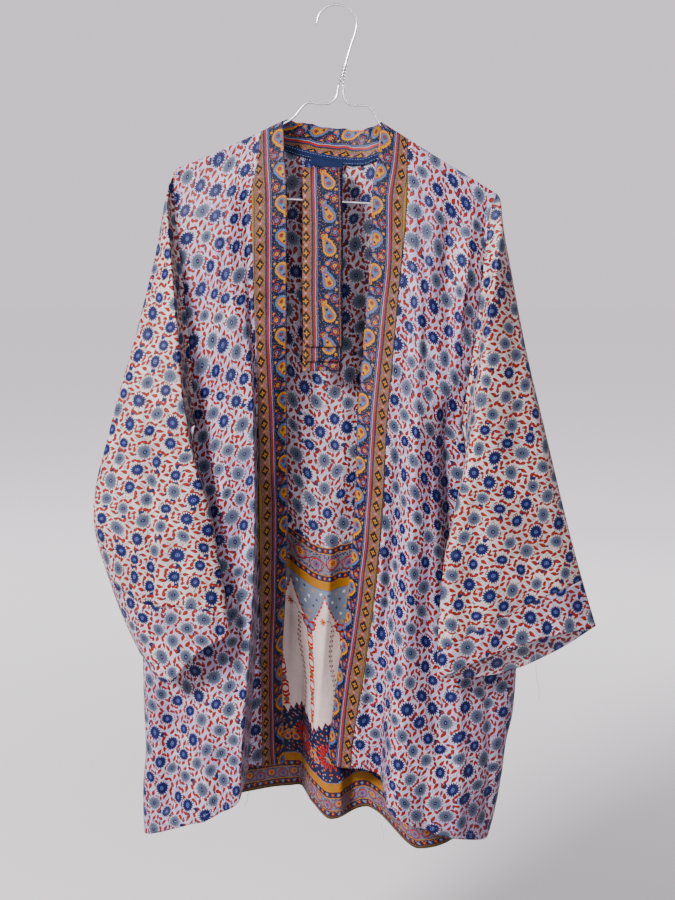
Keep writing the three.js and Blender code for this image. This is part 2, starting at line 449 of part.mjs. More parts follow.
const sleeveLeft = sleeve(SLEEVE_LEFT, left, 1), sleeveRight = sleeve(SLEEVE_RIGHT, right, -1);
const AROUND = 24;
const round = Array.from({ length: AROUND }, (_, i) => i / AROUND * 2 * Math.PI);
const along = [0, 0.02, 0.045, 0.08, 0.13, 0.2, 0.29, 0.39, 0.5, 0.61, 0.72, 0.81, CUFF_AT - 0.0012];
const alongCuff = [CUFF_AT + 0.0012, 0.94, 1];

// ---------------------------------------------------------------- belt
// One strip laid to and fro in six runs and hung by its top folds.
function belt() {
  const front = cubic([-402, -372, -215, -200, -171], [-5.2, -5, -3.9, -2.6, 11.5]); // y of the nearest run at height z
  const runs = [
    { from: -171.5, to: -371 }, { from: -371, to: -173 }, { from: -173, to: -388 },
    { from: -388, to: -173 }, { from: -173, to: -399 }, { from: -399, to: -174 },
  ];
  const mid = [], lie = (k, z) => front(z) - 5 * BELT_PITCH + k * BELT_PITCH;
  runs.forEach((r, k) => {
    steps(r.from, r.to, 7).forEach((z, i) => { if (i || !k) mid.push([lie(k, z), z]); });
    if (k === runs.length - 1) return;
    const way = Math.sign(r.to - r.from), h = BELT_PITCH / 2, c = lie(k, r.to) + h;
    for (let i = 1; i <= 4; i++) mid.push([c - h * Math.cos(i / 4 * Math.PI), r.to + way * h * Math.sin(i / 4 * Math.PI)]);
  });
  const point = (u, v) => {
    const i = Math.min(Math.floor(u), mid.length - 2), f = u - i;
    return new THREE.Vector3(-41 + v * BELT_W, mix(mid[i][0], mid[i + 1][0], f), mix(mid[i][1], mid[i + 1][1], f));
  };
  return wall('belt', point, mid.map((_, i) => i), [0, 1], 0x27386b, { thick: BELT_T });
}

// ---------------------------------------------------------------- hanger
function wire(name, rows, count) {
  const pts = rows.map(r => new THREE.Vector3(r.x, 0, r.z));
  const curve = new THREE.CatmullRomCurve3(pts, false, 'centripetal');
  const ring = new THREE.Shape();
  for (let i = 0; i < 8; i++) {
    const a = (i + 0.5) / 8 * 2 * Math.PI, x = Math.cos(a) * WIRE / 2, y = Math.sin(a) * WIRE / 2;
    i ? ring.lineTo(x, y) : ring.moveTo(x, y);
  }
  ring.closePath();
  const g = new THREE.ExtrudeGeometry(ring, { steps: count, bevelEnabled: false, extrudePath: curve });
  const pos = Array.from(g.attributes.position.array);
  return solid(name, pos, Array.from({ length: pos.length / 3 }, (_, i) => i), 0xc9c9cc, 0.3, 1);
}
// The wire ends are wound round the shank; a plain sleeve of their outer shape.
function twist() {
  const [a, b] = [new THREE.Vector3(6.9, 0, -59.5), new THREE.Vector3(1.8, 0, -79.6)];
  const r0 = WIRE / 2 + 0.3, r1 = WIRE / 2 + 2.1;
  const g = new THREE.LatheGeometry([[r0, 0], [r1, 0.8], [r1, a.distanceTo(b) - 0.8], [r0, a.distanceTo(b)], [r0, 0]]
    .map(p => new THREE.Vector2(p[0], p[1])), 16);
  g.applyQuaternion(new THREE.Quaternion().setFromUnitVectors(new THREE.Vector3(0, 1, 0), a.clone().sub(b).normalize()));
  g.translate(b.x, b.y, b.z);
  return solid('hanger_twist', Array.from(g.attributes.position.array), Array.from(g.index.array), 0xc9c9cc, 0.35, 1);
}

// ---------------------------------------------------------------- assembly
// Each long piece of cloth is whole; only its solid is made in lengths. v and t
// run from the shoulder down, u from side to side, with SEAM between lengths.
const HAIR = 0.0003;
const CUT = { upper: [0, 0.22 - HAIR], middle: [0.22 + HAIR, 0.6 - HAIR], lower: [0.6 + HAIR, 1] };
const FRONT_PARTS = ['upper', 'middle', 'lower'].map(part => ({ part, v: CUT[part] }));
const BACK_PARTS = ['upper', 'middle', 'lower'].flatMap(k => [
  { part: `${k}_right`, u: [0, 3.997], v: CUT[k] }, { part: `${k}_left`, u: [4.003, 8], v: CUT[k] },
]);
const BAND_PARTS = [{ part: 'upper', v: [0, 0.22 - HAIR] }, { part: 'lower', v: [0.22 + HAIR, 1] }];
const SLEEVE_PARTS = [{ part: 'upper', v: [0, 0.4495] }, { part: 'lower', v: [0.4505, CUFF_AT - 0.0012] }];
const SILK = 0xd6ccd6, CREAM = 0xd9d0c2, NAVY = 0x26365f;
const group = new THREE.Group();
group.name = 'kimono_jacket_on_hanger';
group.add(
  ...lengths('back', back, backAcross, down(14), BACK_PARTS, SILK),
  ...lengths('front_left', frontLeft, across, down(15), FRONT_PARTS, SILK),
  ...lengths('front_right', frontRight, across, down(15), FRONT_PARTS, SILK),
  ...lengths('sleeve_left', sleeveLeft, round, along, SLEEVE_PARTS, CREAM, { ring: true }),
  ...lengths('sleeve_right', sleeveRight, round, along, SLEEVE_PARTS, CREAM, { ring: true }),
  wall('cuff_left', sleeveLeft, round, alongCuff, SILK, { ring: true }),
  wall('cuff_right', sleeveRight, round, alongCuff, SILK, { ring: true }),
  ...lengths('band_left', bandLeft, [0, 0.5, 1, 1.5, 2], down(15), BAND_PARTS, NAVY),
  ...lengths('band_right', bandRight, [0, 0.5, 1, 1.5, 2], down(15), BAND_PARTS, NAVY),
  wall('band_neck', neckPoint, [0, 0.5, 1], neckSteps, NAVY),
  wall('neck_tape', tapePoint, [0, 1], steps(0, 1, 12), 0x1d2c55, { thick: 0.8 }),
  wall('label_tab', tabPoint, [0, 1], steps(0, 1, 4), 0x1d2c55, { thick: 0.8 }),
  belt(),
  wire('hanger_hook', HOOK, 30),
  wire('hanger_frame', FRAME, 84),
  twist(),
);
// The origin is the inside of the hook's top, where a rail or peg carries it.
group.position.set(-HOOK_TOP.x, 0, -HOOK_TOP.z);

export default group;
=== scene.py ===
import math

import bpy
import numpy as np
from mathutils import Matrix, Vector


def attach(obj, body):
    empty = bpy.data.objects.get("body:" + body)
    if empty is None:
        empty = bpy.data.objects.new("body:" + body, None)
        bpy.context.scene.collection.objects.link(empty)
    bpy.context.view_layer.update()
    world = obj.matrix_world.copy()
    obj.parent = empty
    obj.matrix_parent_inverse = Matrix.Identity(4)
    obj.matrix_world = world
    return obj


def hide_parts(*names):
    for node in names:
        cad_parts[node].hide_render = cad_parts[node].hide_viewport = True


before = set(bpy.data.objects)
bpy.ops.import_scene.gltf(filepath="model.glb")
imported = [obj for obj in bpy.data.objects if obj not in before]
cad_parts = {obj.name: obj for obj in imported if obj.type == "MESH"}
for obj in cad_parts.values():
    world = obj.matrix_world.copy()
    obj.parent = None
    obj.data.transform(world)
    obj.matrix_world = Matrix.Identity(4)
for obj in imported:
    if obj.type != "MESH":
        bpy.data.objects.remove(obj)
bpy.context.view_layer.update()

# ------------------------------------------------------------------ sizes
# Tables are in millimetres, in the frame the part's source is drawn in; OFF
# brings them into the row frame.
OFF = np.array([2.2, 0.0, -2.4])
CLOTH = 0.62        # shell thickness of one layer of silk with its turned edges
SEAM = 0.06
WIRE = 2.4
RIDGE = 2.6
ARM_Y = 13.0
TURN = 0.012
EASE = 70.0
BELT_W = 44.0
BELT_PITCH = 1.6
TAPE_W = 8.5

RIDGE_RIGHT = [(-181.5, -172.3), (-144.2, -158.1), (-107.3, -141.7), (-86.7, -132.2), (-63.1, -121.0)]
RIDGE_LEFT = [(46.4, -122.1), (76.8, -140.6), (112.9, -162.4), (151.4, -185.2), (177.1, -200.9)]
ARMHOLE_RIGHT = [(-463, -167.4), (-404, -168.6), (-353, -172.0), (-283, -178.0), (-238, -183.4), (-196, -185.6), (-172.3, -181.5)]
ARMHOLE_LEFT = [(-463, 142.1), (-423, 146.4), (-364, 154.1), (-299, 160.6), (-261, 164.4), (-221.5, 169.6), (-200.9, 177.1)]
SIDE_LEFT = [(-463, 142.1), (-500, 151), (-600, 179.4), (-684, 200), (-758, 211), (-806, 208.5), (-850, 200.4), (-886, 196.6), (-920, 190.3), (-962, 180)]
SIDE_RIGHT = [(-463, -167.4), (-500, -178), (-600, -205), (-672, -224.3), (-739, -234.2), (-795, -234.3), (-852, -233.2), (-909, -237.5), (-962, -237)]
FRONT_NAMES = ["band", "foot", "ridge", "crown", "fall"]
FRONT_LEFT = [
    (-125, (77, -3), (86, -3), (104, -4), (128, -4), (152, -3)),
    (-165, (76.4, -8), (88, -9), (105, -11), (129, -9), (153, -9)),
    (-206, (75.6, -11), (89, -13), (106, -17), (130, -13), (152, -16)),
    (-320, (66, -15), (79, -16), (95, -25), (117, -17), (139, -21)),
    (-395, (59.7, -18), (72, -18), (89, -25), (111, -20), (132, -19)),
    (-465, (54, -18), (66, -18), (81, -25), (102.5, -30), (122, -12)),
    (-545, (50.8, -19), (61, -18), (76, -24), (103, -34), (126, -10)),
    (-663, (41, -19), (54, -18), (70, -28), (104, -37), (134, -15)),
    (-770, (27, -18), (46, -18), (66, -41), (106, -44), (152, -28)),
    (-850, (15, -18), (47, -19), (60, -51), (104, -54), (152, -40)),
    (-910, (12, -18), (48, -20), (56, -58), (103, -60), (151, -46)),
    (-965, (11, -18), (49, -20), (56, -60), (104, -60), (151, -46)),
]
FRONT_RIGHT = [
    (-125, (-87, -3), (-94, -3), (-108, -4), (-134, -4), (-160, -3)),
    (-165, (-92, -8), (-98, -8), (-110, -10), (-134, -11), (-160, -9)),
    (-206, (-98, -11), (-104, -11), (-113, -14), (-136, -16), (-162, -12)),
    (-320, (-96.5, -14), (-101, -14), (-108, -20), (-130, -23), (-154, -16)),
    (-432, (-93, -16), (-95.5, -14), (-99, -28), (-122, -29), (-146, -18)),
    (-545, (-92.8, -17), (-94.5, -12), (-97, -36), (-126, -34), (-162, -20)),
    (-637, (-92.6, -14), (-95, -9), (-99.5, -41), (-138, -36), (-182, -20)),
    (-716, (-92.6, -11), (-97.5, -7), (-104.4, -49), (-146, -39), (-192, -23)),
    (-796, (-92.8, -9), (-103, -6), (-111.5, -55), (-152, -42), (-197, -26)),
    (-888, (-93, -8), (-108, -6), (-117, -59), (-155, -45), (-201, -29)),
    (-965, (-93, -8), (-109, -6), (-119, -60), (-156, -45), (-202, -30)),
]
HEM_FRONT_LEFT = dict(band=-873.7, foot=-880.5, ridge=-904, crown=-933, fall=-949.5, side=-960)
HEM_FRONT_RIGHT = dict(band=-874.9, foot=-873.8, ridge=-897, crown=-924.5, fall=-945.5, side=-959.5)
BACK_NAMES = ["a", "b", "c", "d", "e", "f", "g"]
BACK = [
    (-118, (-150, 3), (-87.3, 5), (-40, 16), (-4, 21), (34, 18), (77.4, 5), (140, 3)),
    (-160, (-150, 8), (-88.1, 12), (-41, 19), (-5, 23), (34, 20), (78.1, 12), (140, 7)),
    (-206, (-150, 12), (-92, 17), (-48, 20), (-7, 23), (34, 21), (80, 17), (140, 12)),
    (-320, (-146, 16), (-100, 23), (-58, 20), (-12, 26), (36, 22), (82, 23), (130, 15)),
    (-465, (-142, 20), (-106, 29), (-70, 24), (-16, 29), (36, 30), (78, 22), (116, 17)),
    (-545, (-158, 21), (-110, 32), (-70, 30), (-18, 26), (32, 33), (82, 21), (132, 19)),
    (-665, (-186, 23), (-128, 36), (-70, 38), (-20, 24), (26, 36), (88, 22), (158, 20)),
    (-770, (-196, 25), (-132, 39), (-66, 41), (-18, 21), (26, 36), (90, 14), (168, 20)),
    (-870, (-198, 26), (-132, 40), (-60, 40), (-14, 8), (30, 28), (92, -8), (156, 14)),
    (-930, (-196, 26), (-130, 39), (-56, 38), (-10, -4), (34, 18), (94, -26), (146, 4)),
    (-975, (-195, 25), (-130, 38), (-55, 37), (-10, -6), (36, 15), (95, -30), (145, 1)),
]
HEM_BACK = dict(right=-963.5, a=-952, b=-932, c=-920, d=-943.5, e=-938, f=-969, g=-966, left=-964.5)
NECK = [
    (0.00, (-63.1, 0.15, -121.0), (-86.7, 0.15, -132.2)),
    (0.02, (-62.9, 1.9, -121.3), (-85.8, 1.9, -132.9)),
    (0.04, (-62.2, 3.2, -120.9), (-84.3, 3.4, -134.2)),
    (0.10, (-57.5, 10, -118.4), (-74, 9, -141.0)),
    (0.25, (-43.5, 22, -119.6), (-55, 16.5, -147.5)),
    (0.45, (-21, 29, -122.8), (-26, 21, -154.6)),
    (0.60, (2.9, 31, -125.8), (2.9, 22, -159.2)),
    (0.75, (20, 28, -127.0), (24, 20.5, -160.4)),
    (0.88, (34.5, 18, -126.4), (47, 14.5, -153.5)),
    (0.95, (42, 8, -123.8), (63, 8, -147.5)),
    (0.975, (44.9, 4, -122.6), (71.5, 4.2, -143.6)),
    (0.988, (45.9, 1.9, -122.3), (75.4, 1.9, -141.2)),
    (1.00, (46.4, 0.15, -122.1), (76.8, 0.15, -140.6)),
]
BAND_LEFT = [
    (-122, (62, -3), (46.4, -3)), (-152, (61.6, -6), (43.8, -4)), (-206, (57.5, -10), (36.4, -8)),
    (-261, (56, -12), (36.3, -9)), (-320, (50.3, -13), (31.3, -8)), (-395, (44, -15), (25.5, -6)),
    (-465, (39, -15), (20.5, -4)), (-545, (36, -16), (18.6, -1)), (-663, (25, -16), (10.6, 2)),
    (-773, (9.6, -15), (-2.8, 4)), (-875, (-6, -13), (-15.4, 0)),
]
BAND_RIGHT = [
    (-122, (-77, -3), (-63.1, -3)), (-153, (-77.5, -6), (-62, -6)), (-206, (-84, -11), (-58.7, -10)),
    (-320, (-81.9, -13), (-59.9, -9)), (-432, (-78.5, -12), (-61.3, 1)), (-545, (-78.5, -10), (-61, 7)),
    (-663, (-79, -5), (-64.5, 13)), (-770, (-81, 0), (-69.5, 17)), (-882, (-79.5, 0), (-66, 16)),
]
SLEEVE_LEFT = [
    (0.00, (142.6, 0, -463), (177.6, 0, -200.9), 13, 13, 0, 0),
    (0.04, (146.2, -5, -467), (181.5, 0, -207), 16, 13, 0, 0),
    (0.12, (144.5, -17, -479), (184.5, 0, -232), 20, 12, 0, 0),
    (0.25, (142, -38, -503), (196, -2, -292), 20, 12, 0, 0),
    (0.42, (131, -46, -552), (212, -8, -372), 18, 11, 0, 0),
    (0.60, (119, -51, -612), (239, -14, -480), 17, 9, 0, 0),
    (0.80, (113, -57, -690), (270, -20, -600), 14, 6, 4, 8),
    (1.00, (112, -60, -747), (299, -25, -696), 13, 6, 11, 22),
]
SLEEVE_RIGHT = [
    (0.00, (-167.9, 0, -463), (-182.0, 0, -172.3), 13, 13, 0, 0),
    (0.04, (-171.2, -5, -466), (-187.5, 0, -180), 17, 13, 0, 0),
    (0.12, (-169.5, -17, -480), (-195, 0, -203), 21, 12, 0, 0),
    (0.25, (-161, -38, -508), (-207, -2, -262), 21, 12, 0, 0),
    (0.42, (-146, -47, -552), (-232, -6, -358), 21, 12, 0, 0),
    (0.60, (-139, -50, -596), (-264, -8, -465), 22, 11, 0, 0),
    (0.80, (-130, -56, -648), (-286, -9, -572), 27, 6, -4, 6),
    (0.90, (-126, -59, -674), (-266, -10, -655), 31, 4, -15, 8),
    (1.00, (-123, -61, -694), (-235, -15, -730), 31, 4, -34, 10),
]
SLIT_FROM, SLIT_OVER, SLIT_HALF = -884.0, 50.0, 4.0
CUFF_AT = 0.88
HOOK = [(-26, -18.5), (-21.5, -5.3), (-12.7, 1.6), (-2.2, 3.6), (8.3, 0.5), (16, -7.4), (19.1, -15.9),
        (17.7, -25), (12, -42), (7.4, -57.5), (5.25, -66), (2.7, -76)]
HANGER = [(-0.6, -80.4), (-1.6, -86), (-3.9, -95.7), (-10.9, -101.6), (-22.4, -102.6), (-35.9, -101.4),
          (-51.9, -117.6), (-66, -125.6), (-107, -144.8), (-144, -161.3), (-172, -172.9), (-182.5, -179.5),
          (-184.2, -188), (-177, -197), (-160, -201.4), (-59.7, -206.4), (39.3, -211.4), (150, -216.9),
          (166, -216.8), (173.6, -212), (171.5, -203.5), (160, -194.2), (112, -165.8), (76, -143.8),
          (50, -128.9), (43.8, -122.4), (33.8, -105.9), (23.7, -104.1), (10.9, -103), (4.9, -95.7),
          (4.3, -86), (3.6, -80.6)]


# ------------------------------------------------------------------ numbers
def mix(a, b, f):
    return a + (b - a) * f


def smooth(f):
    f = np.clip(f, 0.0, 1.0)
    return f * f * (3 - 2 * f)


def _end(h0, h1, d0, d1):
    e = ((2 * h0 + h1) * d0 - h0 * d1) / (h0 + h1)
    if e * d0 <= 0:
        return 0.0
    return 3 * d0 if abs(e) > 3 * abs(d0) else e


def cubic(xs, ys):
    """Shape-keeping cubic through the points, xs rising, over whole arrays."""
    xs, ys = np.array(xs, float), np.array(ys, float)
    n = len(xs)
    h = np.diff(xs)
    d = np.diff(ys) / h
    m = np.zeros(n)
    if n > 2:
        m[0], m[-1] = _end(h[0], h[1], d[0], d[1]), _end(h[-1], h[-2], d[-1], d[-2])
        for i in range(1, n - 1):
            if d[i - 1] * d[i] > 0:
                m[i] = 3 * (h[i - 1] + h[i]) / ((2 * h[i] + h[i - 1]) / d[i - 1] + (h[i] + 2 * h[i - 1]) / d[i])
    else:
        m[:] = d[0]

    def f(x):
        x = np.clip(np.asarray(x, float), xs[0], xs[-1])
        i = np.clip(np.searchsorted(xs, x, side="right") - 1, 0, n - 2)
        k = h[i]
        t = (x - xs[i]) / k
        g, c = t * t, t * t * t
        return (2 * c - 3 * g + 1) * ys[i] + (c - 2 * g + t) * k * m[i] + (3 * g - 2 * c) * ys[i + 1] + (c - g) * k * m[i + 1]

    return f


def column(pairs):
    pairs = sorted(pairs)
    return cubic([p[0] for p in pairs], [p[1] for p in pairs])


def across(K, u):
    """The same cubic over equally spaced stations, K[i] the value at station i."""
    K = np.stack([np.broadcast_to(k, u.shape) for k in K]).astype(float)
    n = len(K)
    d = K[1:] - K[:-1]
    m = np.zeros_like(K)
    a, b = d[:-1], d[1:]
    with np.errstate(divide="ignore", invalid="ignore"):
        m[1:-1] = np.where(a * b > 0, 2 * a * b / np.where(a + b == 0, 1, a + b), 0)

    def end(d0, d1):
        e = 1.5 * d0 - 0.5 * d1
        e = np.where(e * d0 <= 0, 0, e)
        return np.where(np.abs(e) > 3 * np.abs(d0), 3 * d0, e)

    m[0], m[-1] = end(d[0], d[1]), end(d[-1], d[-2])
    i = np.clip(np.floor(u), 0, n - 2).astype(int)
    t = u - i
    at = lambda A, k: np.take_along_axis(A, k[None], 0)[0]
    g, c = t * t, t * t * t
    return (2 * c - 3 * g + 1) * at(K, i) + (c - 2 * g + t) * at(m, i) + (3 * g - 2 * c) * at(K, i + 1) + (c - g) * at(m, i + 1)


def wobble(x, z, seed, size=1.0):
    """Soft uneven ripple from a few long waves, no two alike."""
    r = np.random.RandomState(seed)
    out = np.zeros_like(x)
    for k in range(9):
        w = r.uniform(45, 190)
        a = r.uniform(-0.5, 0.5) + (math.pi / 2 if k % 3 == 0 else 0)
        out += r.uniform(0.25, 1.0) * np.sin((x * math.cos(a) + z * math.sin(a)) * 2 * math.pi / w + r.uniform(0, 7))
    return out * size / 3.0


# A crease: its line as (z, x) points, how wide it is to the left
# and right of the line (mm), how far it stands towards -Y (mm, minus sinks),
# and the lengths over which it dies out at its upper and lower end.
def crease(x, z, line, wl, wr, d, up=40, low=40, edge=1.6, wide=None):
    zs = [p[0] for p in line]
    top, bottom = max(zs), min(zs)
    c = column(line)(z)
    grow = 1.0 if wide is None else mix(1.0, wide, np.clip((top - z) / (top - bottom), 0, 1))
    t = (x - c) / (np.where(x < c, wl, wr) * grow)
    amp = smooth((top - z) / up) * smooth((z - bottom) / low)
    return d * amp * np.exp(-np.abs(t) ** edge)


# ------------------------------------------------------------------ body
ridge_right, ridge_left = column(RIDGE_RIGHT), column(RIDGE_LEFT)


def over_ridge(x):
    return np.where(x < 0, ridge_right(x), ridge_left(x)), np.zeros_like(x)


class Flank:
    def __init__(s, arm, side, tip):
        s.arm, s.side, s.tip, s.under = column(arm), column(side), tip, arm[0][0]

    def x(s, z):
        return np.where(z > s.under, s.arm(z), s.side(z))

    def open(s, z):
        l = np.maximum(s.tip[1] - z, 0)
        arch = np.sqrt(np.maximum(RIDGE ** 2 - np.maximum(RIDGE - l, 0) ** 2, 0))
        full = ARM_Y * np.sqrt(smooth((z - s.under) / 90))
        return mix(arch, full, smooth((l - RIDGE) / EASE))

    def turn(s, z):
        return mix(0.5, 1.0, smooth((z - s.under + 10) / 50))


left = Flank(ARMHOLE_LEFT, SIDE_LEFT, (177.1, -200.9))
right = Flank(ARMHOLE_RIGHT, SIDE_RIGHT, (-181.5, -172.3))


def panel(rows, names, hem, sign, near, far, top, us, vs):
    cx = [column([(r[0], r[1 + i][0]) for r in rows]) for i in range(len(names))]
    cy = [column([(r[0], r[1 + i][1]) for r in rows]) for i in range(len(names))]
    keys = (["near"] if near else []) + names + (["far"] if far else [])
    last, first = len(keys) - 1, 1 if near else 0

    def hem_key(k):
        return hem["right"] if k == "near" else hem.get("left", hem.get("side")) if k == "far" else hem[k]

    hem_z = cubic(range(len(keys)), [hem_key(k) for k in keys])

    def edge_y(f, z):
        slit = SLIT_HALF * smooth((SLIT_FROM - z) / SLIT_OVER)
        return sign * np.where(z > f.under, np.maximum(f.open(z), SEAM), SEAM + slit)

    def x_at(u, z):
        K = []
        for k in keys:
            if k == "near":
                K.append(near.x(np.minimum(z, near.tip[1])))
            elif k == "far":
                K.append(far.x(np.minimum(z, far.tip[1])))
            else:
                K.append(cx[names.index(k)](z))
        return across(K, u)

    def depth(u, z):
        inner = [c(z) for c in cy]
        y = across(inner, np.clip(u - first, 0, len(names) - 1))
        if far:
            q = np.clip(last - u, 0, 1)
            e = edge_y(far, z)
            y = np.where(u > last - 1, e + (inner[-1] - e) * np.power(q, far.turn(z)), y)
        if near:
            q = np.clip(u, 0, 1)
            e = edge_y(near, z)
            y = np.where(u < 1, e + (inner[0] - e) * np.power(q, near.turn(z)), y)
        return y

    us, vs = np.asarray(us, float), np.asarray(vs, float)
    zt = np.full(us.shape, -150.0)
    for _ in range(8):
        zt = top(x_at(us, zt))[0]
    ty = top(x_at(us, zt))[1]
    zb = hem_z(us)
    U, V = np.meshgrid(us, vs, indexing="ij")
    ZT, ZB, TY = zt[:, None] + 0 * V, zb[:, None] + 0 * V, ty[:, None] + 0 * V
    open_ = np.clip(TY / RIDGE, 0, 1)
    th = np.clip(V / TURN, 0, 1) * math.pi / 2
    L = np.where(V < TURN, RIDGE * (1 - np.cos(th)), RIDGE + (V - TURN) / (1 - TURN) * (ZT - RIDGE - ZB))
    Z = ZT - L
    y_turn = sign * (TY + SEAM / 2 + (1 - open_) * (RIDGE - SEAM / 2) * np.sin(th))
    f = smooth((L - RIDGE) / EASE)
    dep = depth(U, Z)
    y = mix(y_turn, dep, f)
    if far:
        e = depth(np.full_like(U, last), Z)
        y = np.where(U > last - 1, mix(e, y, smooth((last - U) * 4)), y)
    if near:
        e = depth(np.zeros_like(U), Z)
        y = np.where(U < 1, mix(e, y, smooth(U * 4)), y)
    y = np.where(L > EASE + RIDGE, dep, y)
    y = np.where(V < TURN, y_turn, y)
    X = x_at(U, Z)
    return np.stack([X, y, Z], -1), U, V, L, last


def rows_down(n):
    return np.concatenate([[0, TURN * 0.25, TURN * 0.5, TURN * 0.75, TURN], np.linspace(TURN, 1, n + 1)[1:]])


neck_g = sorted((r[2][0], r[2][2]) for r in NECK)
neck_gy = sorted((r[2][0], r[2][1]) for r in NECK)
seam_z, seam_y = column(neck_g), column(neck_gy)


def neck_top(x):
    z, y = over_ridge(x)
    inside = (x > -87.2) & (x < 77.3)
    shift = np.where(x < -55, 1.2, np.where(x > 50, -1.2, 0.0))
    return np.where(inside, seam_z(x + shift) - SEAM, z), np.where(inside, np.maximum(seam_y(x) - SEAM / 2, 0), y)


# edge fade: creases and ripple die out at the seams and the top, so that
# neighbours still meet
def keep(U, lo, hi, reach, L=None, start=20.0, over=60.0):
    k = smooth((U - lo) / reach) * smooth((hi - U) / reach)
    return k if L is None else k * smooth((L - start) / over)


def front(rows, hem, far, top, folds, seed, nu, nv, side):
    us = np.concatenate([np.linspace(0, 4, int(nu * 0.74)), np.linspace(4, 5, nu - int(nu * 0.74) + 1)[1:]])
    P, U, V, L, last = panel(rows, FRONT_NAMES, hem, -1, None, far, top, us, rows_down(nv))
    x, z = P[..., 0], P[..., 2]
    k = keep(U, 0, last, 0.55, L)
    d = wobble(x, z, seed, 1.1)
    for f in folds:
        d = d + 1.35 * crease(x, z, *f[:4], **f[4])
    P[..., 1] -= d * k
    # seams draw the cloth in by a hair, unevenly
    pull = np.exp(-((last - U) / 0.10) ** 2) + 0.7 * np.exp(-(U / 0.13) ** 2)
    P[..., 1] += smooth((L - 12) / 40) * pull * (0.35 + 0.35 * np.sin(z * 0.31 + 2 * np.sin(z * 0.07)) + 0.2 * np.sin(z * 0.83 + seed))
    return P, L


FL_FOLDS = [
    # line, left width, right width, height
    ([(-180, 86), (-262, 84), (-340, 84)], 6, 6, 2.6, dict(up=60, low=60)),
    ([(-200, 97), (-300, 96), (-380, 98), (-440, 100)], 5, 7, -3.2, dict(up=70, low=70)),
    ([(-200, 118), (-300, 122), (-400, 116)], 7, 7, -3.0, dict(up=60, low=70)),
    ([(-215, 142), (-290, 140), (-350, 134), (-400, 126)], 5, 6, 3.4, dict(up=40, low=70)),
    ([(-300, 127), (-360, 125), (-420, 122)], 5, 5, -2.8, dict(up=50, low=40)),
    # the long fold: a bright ridge with a hollow on either side, widening to the hem
    ([(-385, 88), (-453, 87), (-544, 83), (-590, 81.5), (-661, 78.5), (-720, 75), (-780, 73), (-841, 69), (-903, 68), (-950, 69)], 5, 10, 7.0, dict(up=80, low=30, edge=1.5, wide=2.1)),
    ([(-400, 112), (-487, 106), (-600, 104), (-700, 104), (-800, 112), (-900, 122)], 14, 26, -7.5, dict(up=90, low=90, edge=1.5)),
    ([(-440, 73), (-545, 69), (-640, 62), (-720, 54)], 7, 5, -4.6, dict(up=80, low=90)),
    ([(-540, 52), (-650, 46), (-740, 42)], 8, 7, 2.6, dict(up=80, low=60)),
    ([(-700, 132), (-790, 140), (-880, 140), (-952, 138)], 9, 9, 4.2, dict(up=90, low=30)),
    ([(-720, 160), (-800, 176), (-870, 178), (-958, 170)], 8, 10, -3.6, dict(up=70, low=30)),
    ([(-610, 150), (-680, 168), (-720, 182)], 9, 7, 3.2, dict(up=50, low=50)),
    ([(-700, 28), (-790, 33), (-860, 32)], 7, 7, -2.6, dict(up=90, low=60)),
    ([(-830, 100), (-900, 100), (-955, 98)], 8, 8, -3.2, dict(up=60, low=20)),
]
FR_FOLDS = [
    ([(-170, -118), (-250, -122), (-340, -118), (-420, -112)], 6, 6, 2.2, dict(up=50, low=80)),
    ([(-180, -148), (-260, -150), (-350, -142)], 7, 6, -2.0, dict(up=60, low=70)),
    ([(-200, -132), (-300, -137), (-400, -134), (-470, -130)], 5, 5, 1.8, dict(up=70, low=90)),
    ([(-470, -126), (-560, -136), (-660, -146), (-740, -156)], 8, 6, 2.8, dict(up=70, low=90)),
    ([(-500, -110), (-600, -114), (-700, -120), (-800, -124), (-900, -126)], 6, 7, -3.0, dict(up=80, low=90)),
    ([(-700, -176), (-770, -188), (-850, -196), (-940, -200)], 22, 14, -7.0, dict(up=70, low=30, edge=1.5)),
    ([(-700, -206), (-780, -214), (-860, -214), (-930, -215)], 6, 7, 3.4, dict(up=60, low=40)),
    ([(-760, -150), (-840, -156), (-950, -160)], 9, 10, 4.2, dict(up=80, low=25)),
    ([(-720, -104), (-800, -106), (-900, -108)], 5, 6, 4.0, dict(up=70, low=25)),
    ([(-800, -136), (-880, -138), (-940, -138)], 6, 7, -3.0, dict(up=60, low=30)),
]
FL, FL_L = front(FRONT_LEFT, HEM_FRONT_LEFT, left, over_ridge, FL_FOLDS, 3, 84, 290, 1)
FR, FR_L = front(FRONT_RIGHT, HEM_FRONT_RIGHT, right, over_ridge, FR_FOLDS, 5, 84, 290, -1)

